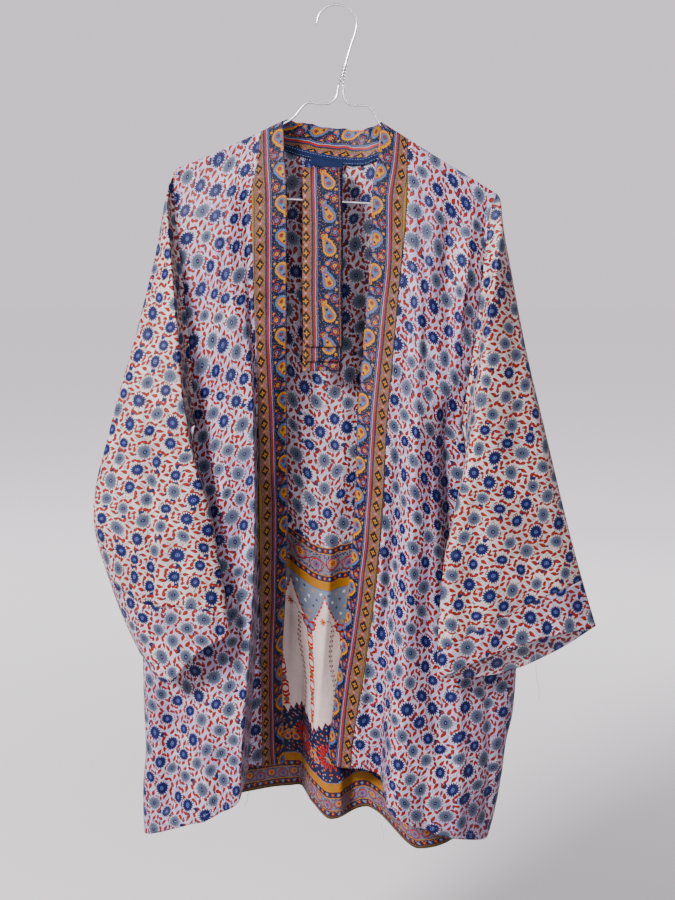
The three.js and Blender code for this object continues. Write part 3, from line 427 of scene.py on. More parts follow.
# ------------------------------------------------------------------ back
BACK_FOLDS = [
    # what shows between the fronts: soft uprights, then the flap over the hem
    ([(-190, -52), (-300, -50), (-420, -46), (-560, -44)], 7, 8, 2.6, dict(up=80, low=100)),
    ([(-240, -24), (-380, -28), (-520, -26)], 6, 6, -2.8, dict(up=80, low=90)),
    ([(-200, 6), (-330, 8), (-480, 4), (-600, 2)], 6, 7, 3.0, dict(up=70, low=100)),
    ([(-300, 24), (-430, 22), (-520, 18)], 5, 6, -2.4, dict(up=70, low=80)),
    ([(-560, -58), (-680, -62), (-800, -64)], 8, 6, -4.2, dict(up=90, low=90)),
    ([(-520, -8), (-640, -12), (-760, -22), (-860, -32), (-945, -36)], 5, 9, 7.0, dict(up=140, low=8, edge=1.3)),
    ([(-700, -44), (-800, -46), (-880, -47), (-945, -47)], 7, 5, -8.5, dict(up=100, low=10)),
    ([(-560, 22), (-680, 16), (-800, 8), (-880, 3), (-945, 2)], 7, 5, 5.0, dict(up=110, low=10, edge=1.4)),
    ([(-700, 34), (-800, 22), (-880, 16), (-940, 14)], 6, 7, -7.5, dict(up=120, low=10)),
    ([(-780, 44), (-860, 42), (-950, 44)], 8, 8, 3.5, dict(up=70, low=20)),
    # hidden stretches, in the same manner
    ([(-200, -120), (-330, -124), (-460, -120)], 9, 8, -3.0, dict(up=60, low=80)),
    ([(-420, -146), (-560, -158), (-700, -170), (-860, -176)], 9, 10, -3.6, dict(up=90, low=90)),
    ([(-500, -100), (-640, -108), (-800, -112), (-930, -112)], 8, 8, -5.0, dict(up=90, low=40)),
    ([(-620, -140), (-760, -150), (-930, -152)], 8, 8, 3.6, dict(up=80, low=40)),
    ([(-200, 104), (-330, 106), (-470, 98)], 9, 8, -3.2, dict(up=60, low=90)),
    ([(-460, 60), (-600, 62), (-760, 64), (-900, 66)], 8, 9, -4.6, dict(up=90, low=50)),
    ([(-520, 100), (-660, 116), (-800, 126), (-950, 122)], 9, 9, -4.0, dict(up=90, low=30)),
    ([(-640, 140), (-760, 160), (-880, 160)], 8, 8, 3.2, dict(up=70, low=60)),
]


def back_grid(nu, nv):
    us = np.concatenate([np.linspace(0, 1, int(nu * 0.13)), np.linspace(1, 7, int(nu * 0.74))[1:], np.linspace(7, 8, int(nu * 0.14))[1:]])
    us = np.unique(np.concatenate([us, [2.02, 2.06, 2.15, 5.85, 5.94, 5.98]]))
    P, U, V, L, last = panel(BACK, BACK_NAMES, HEM_BACK, 1, right, left, neck_top, us, rows_down(nv))
    x, z = P[..., 0], P[..., 2]
    k = keep(U, 0, last, 0.7, L, 8, 60)
    d = wobble(x, z, 11, 1.1)
    for f in BACK_FOLDS:
        d = d + crease(x, z, *f[:4], **f[4])
    P[..., 1] -= d * k
    return P, L


BK, BK_L = back_grid(150, 285)


# ------------------------------------------------------------------ bands
def band(rows, front_rows, gap, hem, nw, nv, seed):
    seam_x = column([(r[0], r[1][0]) for r in front_rows])
    X = [lambda z: seam_x(z) + gap, column([(r[0], r[1][0]) for r in rows]), column([(r[0], r[2][0]) for r in rows])]
    Y = [column([(r[0], r[1][1]) for r in front_rows]), column([(r[0], r[1][1]) for r in rows]), column([(r[0], r[2][1]) for r in rows])]

    def at(F, w, z):
        # the two halves turn softly into each other at the stripe
        a = np.where(w < 1, mix(F[0](z), F[1](z), w), mix(F[1](z), F[2](z), w - 1))
        b = across([F[0](z), F[1](z), F[2](z)], w)
        return mix(a, b, 0.5)

    ws, vs = np.linspace(0, 2, nw), rows_down(nv)
    zt = np.full(nw, -130.0)
    for _ in range(8):
        zt = over_ridge(at(X, ws, zt))[0]
    zb = hem(ws / 2)
    W, V = np.meshgrid(ws, vs, indexing="ij")
    ZT, ZB = zt[:, None] + 0 * V, zb[:, None] + 0 * V
    th = np.clip(V / TURN, 0, 1) * math.pi / 2
    L = np.where(V < TURN, RIDGE * (1 - np.cos(th)), RIDGE + (V - TURN) / (1 - TURN) * (ZT - RIDGE - ZB))
    Z = ZT - L
    y = np.where(V < TURN, -(SEAM / 2 + (RIDGE - SEAM / 2) * np.sin(th)), mix(-RIDGE, at(Y, W, Z), smooth((L - RIDGE) / EASE)))
    x = at(X, W, Z)
    r = np.random.RandomState(seed)
    # the doubled edge waves a little, and the strip is drawn in along its seam
    wave = sum(r.uniform(0.3, 0.8) * np.sin(Z * 2 * math.pi / r.uniform(55, 150) + r.uniform(0, 6)) for _ in range(5))
    on = smooth((L - 30) / 80) * smooth((W - 0.15) / 1.2)
    y = y - 0.9 * wave * on
    y = y - smooth((L - 8) / 20) * (0.55 * np.exp(-((W - 0.07) / 0.06) ** 2) + 0.35 * np.exp(-((W - 1.95) / 0.05) ** 2))
    return np.stack([x, y, Z], -1), L


BL, BL_L = band(BAND_LEFT, FRONT_LEFT, -0.1, lambda w: mix(HEM_FRONT_LEFT["band"], -872.7, w), 30, 290, 21)
BR, BR_L = band(BAND_RIGHT, FRONT_RIGHT, 0.1, lambda w: mix(HEM_FRONT_RIGHT["band"], -880.5, w), 30, 290, 22)


def neck_band(nw, ns):
    def col(k, i):
        return column([(r[0], r[k][i]) for r in NECK])

    Fc, Gc = [col(1, i) for i in range(3)], [col(2, i) for i in range(3)]
    s = np.concatenate([np.linspace(0, 0.06, 14), np.linspace(0.06, 0.94, ns)[1:-1], np.linspace(0.94, 1, 14)])
    w = np.linspace(0, 1, nw)
    Wg, S = np.meshgrid(w, s, indexing="ij")
    P = np.stack([mix(Gc[i](S), Fc[i](S), Wg) for i in range(3)], -1)
    # stands in a soft outward curve, with a slightly uneven top edge
    bow = np.sin(Wg * math.pi) * smooth(S / 0.12) * smooth((1 - S) / 0.12)
    P[..., 1] += bow * 1.4
    P[..., 2] += Wg ** 2 * smooth(S / 0.1) * smooth((1 - S) / 0.1) * (0.7 * np.sin(S * 23) + 0.4 * np.sin(S * 51 + 1))
    return P


NB = neck_band(20, 120)


def lerp_grid(fn, nw, ns):
    Wg, S = np.meshgrid(np.linspace(0, 1, nw), np.linspace(0, 1, ns), indexing="ij")
    return fn(Wg, S)


def tape_point(w, s):
    x = mix(-64, 46, s)
    return np.stack([x, seam_y(x) - 2.4 + w * 0.5 + 0.12 * np.sin(s * 60), seam_z(x) + 1.2 - w * TAPE_W], -1)


def tab_point(w, s):
    x = mix(-32.5, 4.1, s)
    return np.stack([x, seam_y(x) - 4.2 - w * 1.4 - 0.5 * np.sin(w * 3.1) + 0.25 * np.sin(s * 7), seam_z(x) - 5.2 - w * 9.5 + 0.3 * np.sin(s * 9) * w], -1)


TAPE = lerp_grid(tape_point, 6, 90)
TAB = lerp_grid(tab_point, 8, 40)


# ------------------------------------------------------------------ sleeves
def sleeve(rows, f, s, folds, seed, t0, t1, na, nt, warp, roll_in):
    c = lambda k, i=None: column([(r[0], r[k] if i is None else r[k][i]) for r in rows])
    I, O = [c(1, i) for i in range(3)], [c(2, i) for i in range(3)]
    front_, back_, lift, drop = c(3), c(4), c(5), c(6)
    a = np.linspace(0, 2 * math.pi, na + 1)
    t = t0 + (t1 - t0) * (np.linspace(0, 1, nt) ** (1.25 if t0 == 0 else 1))
    A, T = np.meshgrid(a, t, indexing="ij")
    q, is_front, b = (1 - np.cos(A)) / 2, np.sin(A) >= 0, np.abs(np.sin(A))
    P = [mix(I[i](T), O[i](T), q) for i in range(3)]
    z0 = mix(f.under, f.tip[1], q)
    near = 1 - smooth(T / 0.12)
    P[0] = P[0] + near * (f.x(z0 + 1e-6) + s * 0.12 - np.where(T < 1e-9, P[0], mix(rows[0][1][0], rows[0][2][0], q)))
    # the cloth rolls over just outside the armhole seam and then lies flat
    roll = np.where(is_front, roll_in * smooth((T - 0.002) / 0.045) * (1 - smooth((T - 0.045) / 0.24)), 0.0) * smooth(b / 0.5)
    ell = np.where(is_front, -front_(T) * b - roll, back_(T) * b)
    arm = np.where(is_front, -1, 1) * f.open(z0)
    P[1] = P[1] + mix(ell, arm, near)
    peak = 4 * q * (1 - q) if s > 0 else np.sin(math.pi * q ** 1.7) ** 2
    P[2] = P[2] + np.where(is_front, lift(T) * peak, -drop(T) * 4 * q * (1 - q))
    x, z = P[0], P[2]
    d = wobble(x, z, seed, 1.0)
    for g in folds:
        d = d + crease(x, z, *g[:4], **g[4])
    k = smooth(b / 0.55) * smooth((T - 0.01) / 0.06)
    P[1] = P[1] - np.where(is_front, d, -0.8 * wobble(x + 30, z, seed + 9, 1.6)) * k
    if warp is not None:
        P = warp(P, A, T, q, is_front)
    return np.stack(P, -1), A, T


SL_FOLDS = [
    ([(-250, 176), (-320, 170), (-400, 158), (-470, 149)], 6, 8, 2.4, dict(up=60, low=90)),
    ([(-240, 190), (-340, 196), (-450, 200), (-560, 206)], 9, 9, -2.0, dict(up=60, low=120)),
    ([(-280, 204), (-400, 218), (-520, 236), (-640, 256), (-720, 268)], 10, 10, 2.0, dict(up=80, low=60)),
    ([(-420, 176), (-520, 176), (-620, 172), (-735, 168)], 12, 11, 2.0, dict(up=90, low=30)),
    ([(-500, 158), (-600, 152), (-700, 148), (-760, 146)], 8, 9, -2.2, dict(up=70, low=20)),
    ([(-520, 200), (-620, 212), (-730, 218)], 11, 12, -1.8, dict(up=80, low=25)),
    ([(-560, 132), (-640, 127), (-745, 126)], 4, 6, 2.6, dict(up=60, low=20)),
    ([(-640, 230), (-690, 238), (-720, 242)], 5, 6, -2.4, dict(up=40, low=8)),
    ([(-680, 190), (-730, 192), (-745, 192)], 4, 5, -2.4, dict(up=40, low=6)),
]
SR_FOLDS = [
    ([(-250, -208), (-330, -214), (-415, -216)], 8, 8, -1.6, dict(up=50, low=60)),
    ([(-380, -219), (-430, -217), (-487, -215), (-544, -214), (-602, -213), (-661, -212), (-714, -211)], 3.5, 3.5, -4.2, dict(up=60, low=10, edge=1.3)),
    ([(-400, -209), (-487, -206), (-602, -203), (-700, -202)], 6, 8, 2.4, dict(up=60, low=30)),
    ([(-420, -228), (-520, -230), (-620, -228), (-700, -226)], 8, 6, 2.6, dict(up=60, low=30)),
    ([(-470, -166), (-560, -164), (-650, -158)], 8, 9, 1.8, dict(up=70, low=60)),
    ([(-380, -236), (-480, -254), (-580, -270)], 8, 8, -2.0, dict(up=70, low=70)),
    ([(-560, -184), (-620, -182), (-700, -180)], 8, 8, -1.8, dict(up=60, low=30)),
    ([(-640, -140), (-680, -136), (-700, -134)], 5, 5, -2.6, dict(up=30, low=8)),
    ([(-660, -168), (-700, -166), (-715, -165)], 4, 4, -2.4, dict(up=30, low=6)),
]
SLV_L, SL_A, SL_T = sleeve(SLEEVE_LEFT, left, 1, SL_FOLDS, 31, 0.0, CUFF_AT - 0.0001, 150, 180, None, 8.0)
CUF_L, CL_A, CL_T = sleeve(SLEEVE_LEFT, left, 1, SL_FOLDS, 31, CUFF_AT + 0.0001, 1.0, 150, 26, None, 8.0)
SLV_R, SR_A, SR_T = sleeve(SLEEVE_RIGHT, right, -1, SR_FOLDS, 37, 0.0, CUFF_AT - 0.0001, 150, 180, None, 13.0)
CUF_R, CR_A, CR_T = sleeve(SLEEVE_RIGHT, right, -1, SR_FOLDS, 37, CUFF_AT + 0.0001, 1.0, 150, 26, None, 13.0)


# ------------------------------------------------------------------ belt
def belt_grid(nx):
    front_y = cubic([-402, -372, -215, -200, -171], [-5.2, -5, -3.9, -2.6, 11.5])
    runs = [(-171.5, -371), (-371, -173), (-173, -388), (-388, -173), (-173, -399), (-399, -174)]
    lie = lambda k, z: front_y(z) - 5 * BELT_PITCH + k * BELT_PITCH
    mid, run = [], []
    for k, (a, b) in enumerate(runs):
        for i, z in enumerate(np.linspace(a, b, 60)):
            if i or not k:
                mid.append([float(lie(k, z)), z])
                run.append(k)
        if k == len(runs) - 1:
            break
        way, h = math.copysign(1, b - a), BELT_PITCH / 2
        c = float(lie(k, b)) + h
        for i in range(1, 7):
            t = i / 6 * math.pi
            mid.append([c - h * math.cos(t), b + way * h * math.sin(t)])
            run.append(k + 0.5)
    mid, run = np.array(mid), np.array(run)
    v = np.linspace(0, 1, nx)
    M = np.broadcast_to(mid[:, None, :], (len(mid), nx, 2))
    Vg = np.broadcast_to(v[None], (len(mid), nx))
    R = np.broadcast_to(run[:, None], (len(mid), nx))
    z = M[..., 1]
    x = -41 + Vg * BELT_W
    # the two halves bow slightly away from the stripe between them; lower ends flare
    y = M[..., 0] - 0.22 * np.sin(Vg * math.pi * 2) * smooth((-178 - z) / 20)
    x = x + 0.5 * np.sin(z * 0.045 + R) + 0.012 * (z + 170) * (R / 5 - 0.5)
    return np.stack([x, y, z], -1)


BELT = belt_grid(15)


# ------------------------------------------------------------------ meshes
def arc(P, axis):
    d = np.linalg.norm(np.diff(P, axis=axis), axis=-1)
    z = np.zeros_like(np.take(d, [0], axis=axis))
    return np.concatenate([z, np.cumsum(d, axis=axis)], axis=axis)


def normals(P, ring=False):
    if ring:
        du = np.roll(P[:-1], -1, 0) - np.roll(P[:-1], 1, 0)
        du = np.concatenate([du, du[:1]], 0)
    else:
        du = np.gradient(P, axis=0)
    dv = np.gradient(P, axis=1)
    n = np.cross(du, dv)
    return n / np.maximum(np.linalg.norm(n, axis=-1, keepdims=True), 1e-9)


MATS = {}


def shell(name, P, uv, mats, outward, thick=CLOTH, ring=False, puff=None):
    """A thin closed shell on the middle surface P (millimetres), uv per grid
    point (millimetres of flat cloth). outward says which way its face looks."""
    n = normals(P, ring)
    if (n * outward).sum() < 0:
        n = -n
        flip = True
    else:
        flip = False
    t = thick / 2 * np.ones(P.shape[:2]) if puff is None else thick / 2 * puff
    sides = [P + n * t[..., None], P - n * t[..., None]]
    nu, nv = P.shape[:2]
    cols = nu - 1 if ring else nu
    V = np.concatenate([(S[:cols].reshape(-1, 3) + OFF) / 1000 for S in sides])
    ix = lambda i, j, s: s * cols * nv + (i % cols if ring else i) * nv + j
    i, j = [g.ravel() for g in np.meshgrid(np.arange(nu - 1), np.arange(nv - 1), indexing="ij")]
    F, C, M = [], [], []
    corners = lambda i, j: [(i, j), (i + 1, j), (i + 1, j + 1), (i, j + 1)]
    for s in (0, 1):
        cs = corners(i, j)
        if (s == 0) == flip:
            cs = cs[::-1]
        F.append(np.stack([ix(a, b, s) for a, b in cs], 1))
        C.append(np.stack([uv[a, b] for a, b in cs], 1))
        M.append(np.full(len(i), s))

    def rim(a0, b0, a1, b1, turn):
        f = np.stack([ix(a0, b0, 0), ix(a1, b1, 0), ix(a1, b1, 1), ix(a0, b0, 1)], 1)
        c = np.stack([uv[a0, b0], uv[a1, b1], uv[a1, b1], uv[a0, b0]], 1)
        if turn != flip:
            f, c = f[:, ::-1], c[:, ::-1]
        F.append(f)
        C.append(c)
        M.append(np.zeros(len(f), int))

    k = np.arange(nu - 1)
    rim(k, 0 * k, k + 1, 0 * k, True)
    rim(k, 0 * k + nv - 1, k + 1, 0 * k + nv - 1, False)
    if not ring:
        k = np.arange(nv - 1)
        rim(0 * k, k, 0 * k, k + 1, False)
        rim(0 * k + nu - 1, k, 0 * k + nu - 1, k + 1, True)
    F, C, M = np.concatenate(F), np.concatenate(C), np.concatenate(M)
    return build(name, V, F, mats, M, C.reshape(-1, 2))


def build(name, V, F, mats, M=None, C=None, smooth_shade=True):
    me = bpy.data.meshes.new(name)
    me.vertices.add(len(V))
    me.vertices.foreach_set("co", np.ascontiguousarray(V, dtype=np.float32).ravel())
    F = np.asarray(F)
    me.loops.add(F.size)
    me.loops.foreach_set("vertex_index", F.ravel().astype(np.int32))
    me.polygons.add(len(F))
    me.polygons.foreach_set("loop_start", (np.arange(len(F)) * F.shape[1]).astype(np.int32))
    me.polygons.foreach_set("loop_total", np.full(len(F), F.shape[1], np.int32))
    if M is not None:
        me.polygons.foreach_set("material_index", np.asarray(M, np.int32))
    me.polygons.foreach_set("use_smooth", np.full(len(F), smooth_shade))
    if C is not None:
        layer = me.uv_layers.new(name="flat")
        layer.data.foreach_set("uv", np.ascontiguousarray(C, dtype=np.float32).ravel())
    me.update(calc_edges=True)
    me.validate()
    for m in mats:
        me.materials.append(MATS[m])
    o = bpy.data.objects.new(name, me)
    bpy.context.scene.collection.objects.link(o)
    return o


def tube(points, radius, sides=14, cap=True):
    """Vertices and quads of a round bar along points (n, 3); radius may vary."""
    p = np.asarray(points, float)
    n = len(p)
    r = np.broadcast_to(radius, (n,))
    t = np.gradient(p, axis=0)
    t /= np.linalg.norm(t, axis=1, keepdims=True)
    a = np.cross(t[0], [0, 1, 0])
    if np.linalg.norm(a) < 1e-3:
        a = np.cross(t[0], [1, 0, 0])
    a /= np.linalg.norm(a)
    rings = []
    for k in range(n):
        a = a - t[k] * a.dot(t[k])
        a /= np.linalg.norm(a)
        b = np.cross(t[k], a)
        ang = np.arange(sides) / sides * 2 * math.pi
        rings.append(p[k] + r[k] * (np.cos(ang)[:, None] * a + np.sin(ang)[:, None] * b))
    V = np.concatenate(rings)
    F = []
    for k in range(n - 1):
        for i in range(sides):
            j = (i + 1) % sides
            F.append((k * sides + i, k * sides + j, (k + 1) * sides + j, (k + 1) * sides + i))
    if cap:
        for k, s in ((0, 1), (n - 1, -1)):
            c = len(V)
            V = np.concatenate([V, [p[k] - t[k] * r[k] * 0.0 * s]])
            for i in range(sides):
                j = (i + 1) % sides
                q = (c, k * sides + j, k * sides + i) if s > 0 else (c, k * sides + i, k * sides + j)
                F.append(q + (q[0],))
    return V, F


def catmull(rows, per):
    """Centripetal Catmull-Rom through (x, z) rows, in the plane y = 0."""
    P = [np.array([r[0], 0.0, r[1]]) for r in rows]
    P = [2 * P[0] - P[1]] + P + [2 * P[-1] - P[-2]]
    out = []
    for i in range(1, len(P) - 2):
        p0, p1, p2, p3 = P[i - 1:i + 3]
        t0 = 0.0
        t1 = t0 + np.linalg.norm(p1 - p0) ** 0.5
        t2 = t1 + np.linalg.norm(p2 - p1) ** 0.5
        t3 = t2 + np.linalg.norm(p3 - p2) ** 0.5
        m = max(2, int(np.linalg.norm(p2 - p1) / per))
        for t in np.linspace(t1, t2, m, endpoint=False):
            a1 = (t1 - t) / (t1 - t0) * p0 + (t - t0) / (t1 - t0) * p1
            a2 = (t2 - t) / (t2 - t1) * p1 + (t - t1) / (t2 - t1) * p2
            a3 = (t3 - t) / (t3 - t2) * p2 + (t - t2) / (t3 - t2) * p3
            b1 = (t2 - t) / (t2 - t0) * a1 + (t - t0) / (t2 - t0) * a2
            b2 = (t3 - t) / (t3 - t1) * a2 + (t - t1) / (t3 - t1) * a3
            out.append((t2 - t) / (t2 - t1) * b1 + (t - t1) / (t2 - t1) * b2)
    out.append(P[-2])
    return np.array(out)


# ------------------------------------------------------------------ materials
def lin(r, g, b):
    f = lambda v: v / 12.92 if v <= 0.04045 else ((v + 0.055) / 1.055) ** 2.4
    return tuple(f(x / 255.0) for x in (r, g, b)) + (1.0,)


class X:
    """A scalar socket with arithmetic, each step one Math node made in order."""

    def __init__(s, g, sock):
        s.g, s.s = g, sock

    def __add__(a, b):
        return a.g.m("ADD", a, b)

    __radd__ = __add__

    def __sub__(a, b):
        return a.g.m("SUBTRACT", a, b)

    def __rsub__(a, b):
        return a.g.m("SUBTRACT", b, a)

    def __mul__(a, b):
        return a.g.m("MULTIPLY", a, b)

    __rmul__ = __mul__

    def __truediv__(a, b):
        return a.g.m("DIVIDE", a, b)

    def __abs__(a):
        return a.g.m("ABSOLUTE", a)


class Nodes:
    def __init__(s, name):
        m = bpy.data.materials.new(name)
        m.use_nodes = True
        s.mat, s.t = m, m.node_tree
        s.t.nodes.clear()
        MATS[name] = m

    def n(s, kind, **kw):
        o = s.t.nodes.new("ShaderNode" + kind)
        for k, v in kw.items():
            setattr(o, k, v)
        return o

    def put(s, sock, v):
        if isinstance(v, X):
            v = v.s
        if hasattr(v, "is_linked"):
            s.t.links.new(v, sock)
        else:
            sock.default_value = v

    def m(s, op, a, b=None, c=None, clamp=False):
        o = s.n("Math", operation=op, use_clamp=clamp)
        for k, v in enumerate((a, b, c)):
            if v is not None:
                s.put(o.inputs[k], v)
        return X(s, o.outputs[0])

    def ma(s, a, k, c, clamp=False):
        return s.m("MULTIPLY_ADD", a, k, c, clamp)

    def lo(s, a, b):
        return s.m("MINIMUM", a, b)

    def hi(s, a, b):
        return s.m("MAXIMUM", a, b)

    def both(s, a, b):
        return s.m("MULTIPLY", a, b)

    def under(s, v, edge, soft=0.3):
        """1 where v is below edge, with a soft rim."""
        return s.m("MULTIPLY_ADD", v, -1.0 / soft, edge / soft + 0.5, True)

    def near(s, v, at, half):
        return s.m("COMPARE", v, at, half)

    def uv(s):
        o = s.n("UVMap", uv_map="flat")
        return o.outputs[0]

    def sep(s, v):
        o = s.n("SeparateXYZ")
        s.put(o.inputs[0], v)
        return X(s, o.outputs[0]), X(s, o.outputs[1]), X(s, o.outputs[2])

    def vec(s, a, b, c=0.0):
        o = s.n("CombineXYZ")
        for k, v in enumerate((a, b, c)):
            s.put(o.inputs[k], v)
        return o.outputs[0]

    def vm(s, op, a, b=None, c=None, scale=None):
        o = s.n("VectorMath", operation=op)
        for k, v in enumerate((a, b, c)):
            if v is not None:
                s.put(o.inputs[k], v)
        if scale is not None:
            s.put(o.inputs["Scale"], scale)
        return X(s, o.outputs["Value"]) if op in ("LENGTH", "DISTANCE", "DOT_PRODUCT") else o.outputs[0]

    def noise(s, v, scale, detail=1.0, rough=0.5, colour=False, dims="2D"):
        o = s.n("TexNoise", noise_dimensions=dims)
        s.put(o.inputs["Vector"], v)
        o.inputs["Scale"].default_value = scale
        o.inputs["Detail"].default_value = detail
        o.inputs["Roughness"].default_value = rough
        return o.outputs["Color"] if colour else X(s, o.outputs["Fac"])

    def mix(s, f, a, b, blend="MIX"):
        o = s.n("Mix", data_type="RGBA", blend_type=blend)
        s.put(o.inputs[0], f)
        s.put(o.inputs[6], a)
        s.put(o.inputs[7], b)
        return o.outputs[2]

    def rosette(s, p, cu, cv, r, petals, depth=0.25, turn=0.0):
        """Petalled disc: its radius over its own outline, below 1 inside."""
        d = s.vm("SUBTRACT", p, (cu, cv, 0.0))
        du, dv, _ = s.sep(d)
        a = s.m("ARCTAN2", dv, du)
        w = s.ma(s.m("COSINE", s.ma(a, float(petals), turn)), depth * r, r * (1 - depth))
        return s.vm("LENGTH", d) / w


def leaf(g, P, la, lb, ang, L, W, bend=0.25):
    o = g.n("Mapping", vector_type="TEXTURE")
    g.put(o.inputs["Vector"], P)
    o.inputs["Location"].default_value = (la, lb, 0)
    o.inputs["Rotation"].default_value = (0, 0, math.radians(ang))
    o.inputs["Scale"].default_value = (L, W, 1)
    t, s_, _ = g.sep(o.outputs[0])
    t2 = t * t
    return g.ma(abs(g.ma(t2, bend, s_)), g.ma(t, 0.62, 1.08), t2)


def lattice_local(g, fi, fj):
    """Upright millimetres about a cell's middle, from its two fractions."""
    return g.vm("MULTIPLY_ADD", g.vec(fi, fi), E1 + (0.0,), g.vm("MULTIPLY", g.vec(fj, fj), E2 + (0.0,)))


def cell_hash(g, i, j, seed):
    o = g.n("TexWhiteNoise", noise_dimensions="3D")
    g.put(o.inputs["Vector"], g.vec(i, j, seed))
    return g.vm("SUBTRACT", o.outputs["Color"], (0.5, 0.5, 0.5))


def spray(g, P, i, j, seed, leaves, sway, turn):
    """Leaves about one point of the lattice, mirrored and swayed cell by cell."""
    h = cell_hash(g, i, j, seed)
    hx, hy, hz = g.sep(h)
    flip = g.ma(g.m("GREATER_THAN", hz, 0.0), 2.0, -1.0)
    o = g.n("VectorRotate", rotation_type="Z_AXIS")
    g.put(o.inputs["Vector"], g.vm("MULTIPLY_ADD", h, (sway, sway, 0.0), P))
    g.put(o.inputs["Angle"], hx * turn)
    Q = g.vm("MULTIPLY", o.outputs[0], g.vec(flip, flip, 1.0))
    f = None
    for spec in leaves:
        k = leaf(g, Q, *spec)
        f = k if f is None else g.lo(f, k)
    return f, Q


E1, E2 = (19.4, 12.2), (-16.4, 19.6)


def floral(g, uv, base, stretch=(1.0, 1.0), strong=1.0):
    """All-over flowers on a slanting lattice, navy and grey by turns, with red
    leaves in the gaps. Flowers sit on the lattice points, leaves on the middles of
    its cells and sides, so that nothing is cut at a cell's edge."""
    wob = g.vm("MULTIPLY_ADD", g.vm("SUBTRACT", g.noise(uv, 0.11, 2.0, 0.55, True), (0.5, 0.5, 0.5)), (1.5, 1.5, 0.0), uv)
    # the rows stray slowly, so that the eye finds no ruled lines
    wob = g.vm("MULTIPLY_ADD", g.vm("SUBTRACT", g.noise(uv, 0.021, 0.0, 0.5, True), (0.5, 0.5, 0.5)), (8.5, 8.5, 0.0), wob)
    U, V, _ = g.sep(wob)
    det = E1[0] * E2[1] - E1[1] * E2[0]
    qi = g.ma(U, E2[1] / det, V * (-E2[0] / det))
    qj = g.ma(U, -E1[1] / det, V * (E1[0] / det))
    i0, j0 = g.m("FLOOR", qi), g.m("FLOOR", qj)
    i1, j1 = g.m("FLOOR", qi + 0.5), g.m("FLOOR", qj + 0.5)
    fi0, fj0 = qi - i0 - 0.5, qj - j0 - 0.5
    fi1, fj1 = qi - i1, qj - j1
        # leaves
    f, D = spray(g, lattice_local(g, fi1, fj1), i1, j1, 3.0,
                 [(-2.0, -3.4, 124, 4.5, 2.15, 0.22), (2.6, 3.2, 300, 4.6, 2.2, 0.22), (-6.0, 5.8, 62, 4.0, 1.95, 0.15),
                  (5.8, -6.0, 222, 4.0, 1.95, 0.15), (7.9, 2.2, 88, 3.6, 1.8, 0.15), (-8.0, -1.8, 254, 3.6, 1.8, 0.15)], 0.8, 0.45)
    f2, E = spray(g, lattice_local(g, fi0, fj1), i0, j1, 5.0,
                  [(-2.4, 2.9, 36, 4.3, 2.05, -0.2), (2.5, -3.0, 200, 4.2, 2.0, 0.2)], 0.7, 0.45)
    f3, F = spray(g, lattice_local(g, fi1, fj0), i1, j0, 7.0, [(-0.6, 0.8, 128, 4.3, 2.05, 0.2)], 0.8, 0.45)
    f = g.lo(g.lo(f, f2), f3)
    bud = leaf(g, D, 1.2, 8.4, 60, 2.1, 1.2, 0.0)
    # flower
    h = cell_hash(g, i0, j0, 1.0)
    P = g.vm("MULTIPLY_ADD", h, (6.4, 6.0, 0.0), lattice_local(g, fi0, fj0))
    P = g.vm("MULTIPLY", P, stretch + (1.0,))
    fx, fy, _ = g.sep(P)
    hx, hy, hz = g.sep(h)
    odd = g.m("GREATER_THAN", g.m("FRACT", hx * 7.3 + hy * 5.1), 0.52)
    r = g.ma(g.vm("LENGTH", P), g.ma(hz, 0.2, g.ma(odd, -0.06, 1.02)), 0.0)
    th = g.m("ARCTAN2", fy, fx)
    tri = g.m("PINGPONG", g.ma(th, 16 / (2 * math.pi), hz), 0.5)
    rim = g.ma(tri, 5.0, 5.9)
    petal_in = g.m("MULTIPLY", rim - r, 3.4, clamp=True)
    # fine tendrils follow level lines of a slow noise
    n1 = g.noise(wob, 0.085, 1.0, 0.4)
    n2 = g.noise(wob, 0.06, 0.0, 0.4, dims="3D")
    ten = g.lo(abs(n1 - 0.47), abs(n2 - 0.52) * 1.3)
    ten = g.lo(ten, abs(n1 - 0.60))
    # colours, from the ground up
    tone = g.noise(uv, 0.6, 2.0, 0.6)
    col = g.mix(g.both(g.under(ten, 0.008, 0.006), g.under(f * -1.0, -1.5, 0.5)), base, lin(104, 96, 120))
    red = g.mix(g.m("MULTIPLY_ADD", tone, 3.0, -1.0, True), lin(124, 38, 38), lin(156, 54, 48))
    red = g.mix(g.both(g.under(f, 0.42, 0.3), g.m("MULTIPLY_ADD", tone, 1.6, -0.2, True)), red, lin(190, 82, 66))
    clear = g.m("GREATER_THAN", r, 8.1)
    col = g.mix(g.both(g.under(f, 0.93, 0.3), clear), col, red)
    col = g.mix(g.both(g.under(bud, 0.92, 0.4), clear), col, lin(58, 72, 116))
    navy = g.mix(g.m("MULTIPLY_ADD", tone, 2.6, -0.8, True), lin(12, 34, 96), lin(28, 54, 130))
    rays = g.m("MULTIPLY_ADD", tri, 2.0, 0.0)
    grey = g.mix(g.both(g.m("MULTIPLY_ADD", r, 0.33, -1.0, True), rays), lin(116, 122, 139), lin(145, 150, 160))
    grey = g.mix(g.both(g.under(tri, 0.07, 0.05), g.m("GREATER_THAN", r, 3.2)), grey, lin(84, 92, 118))
    grey = g.mix(g.near(rim - r, 0.3, 0.42), grey, lin(90, 98, 122))
    col = g.mix(petal_in, col, g.mix(odd, navy, grey))
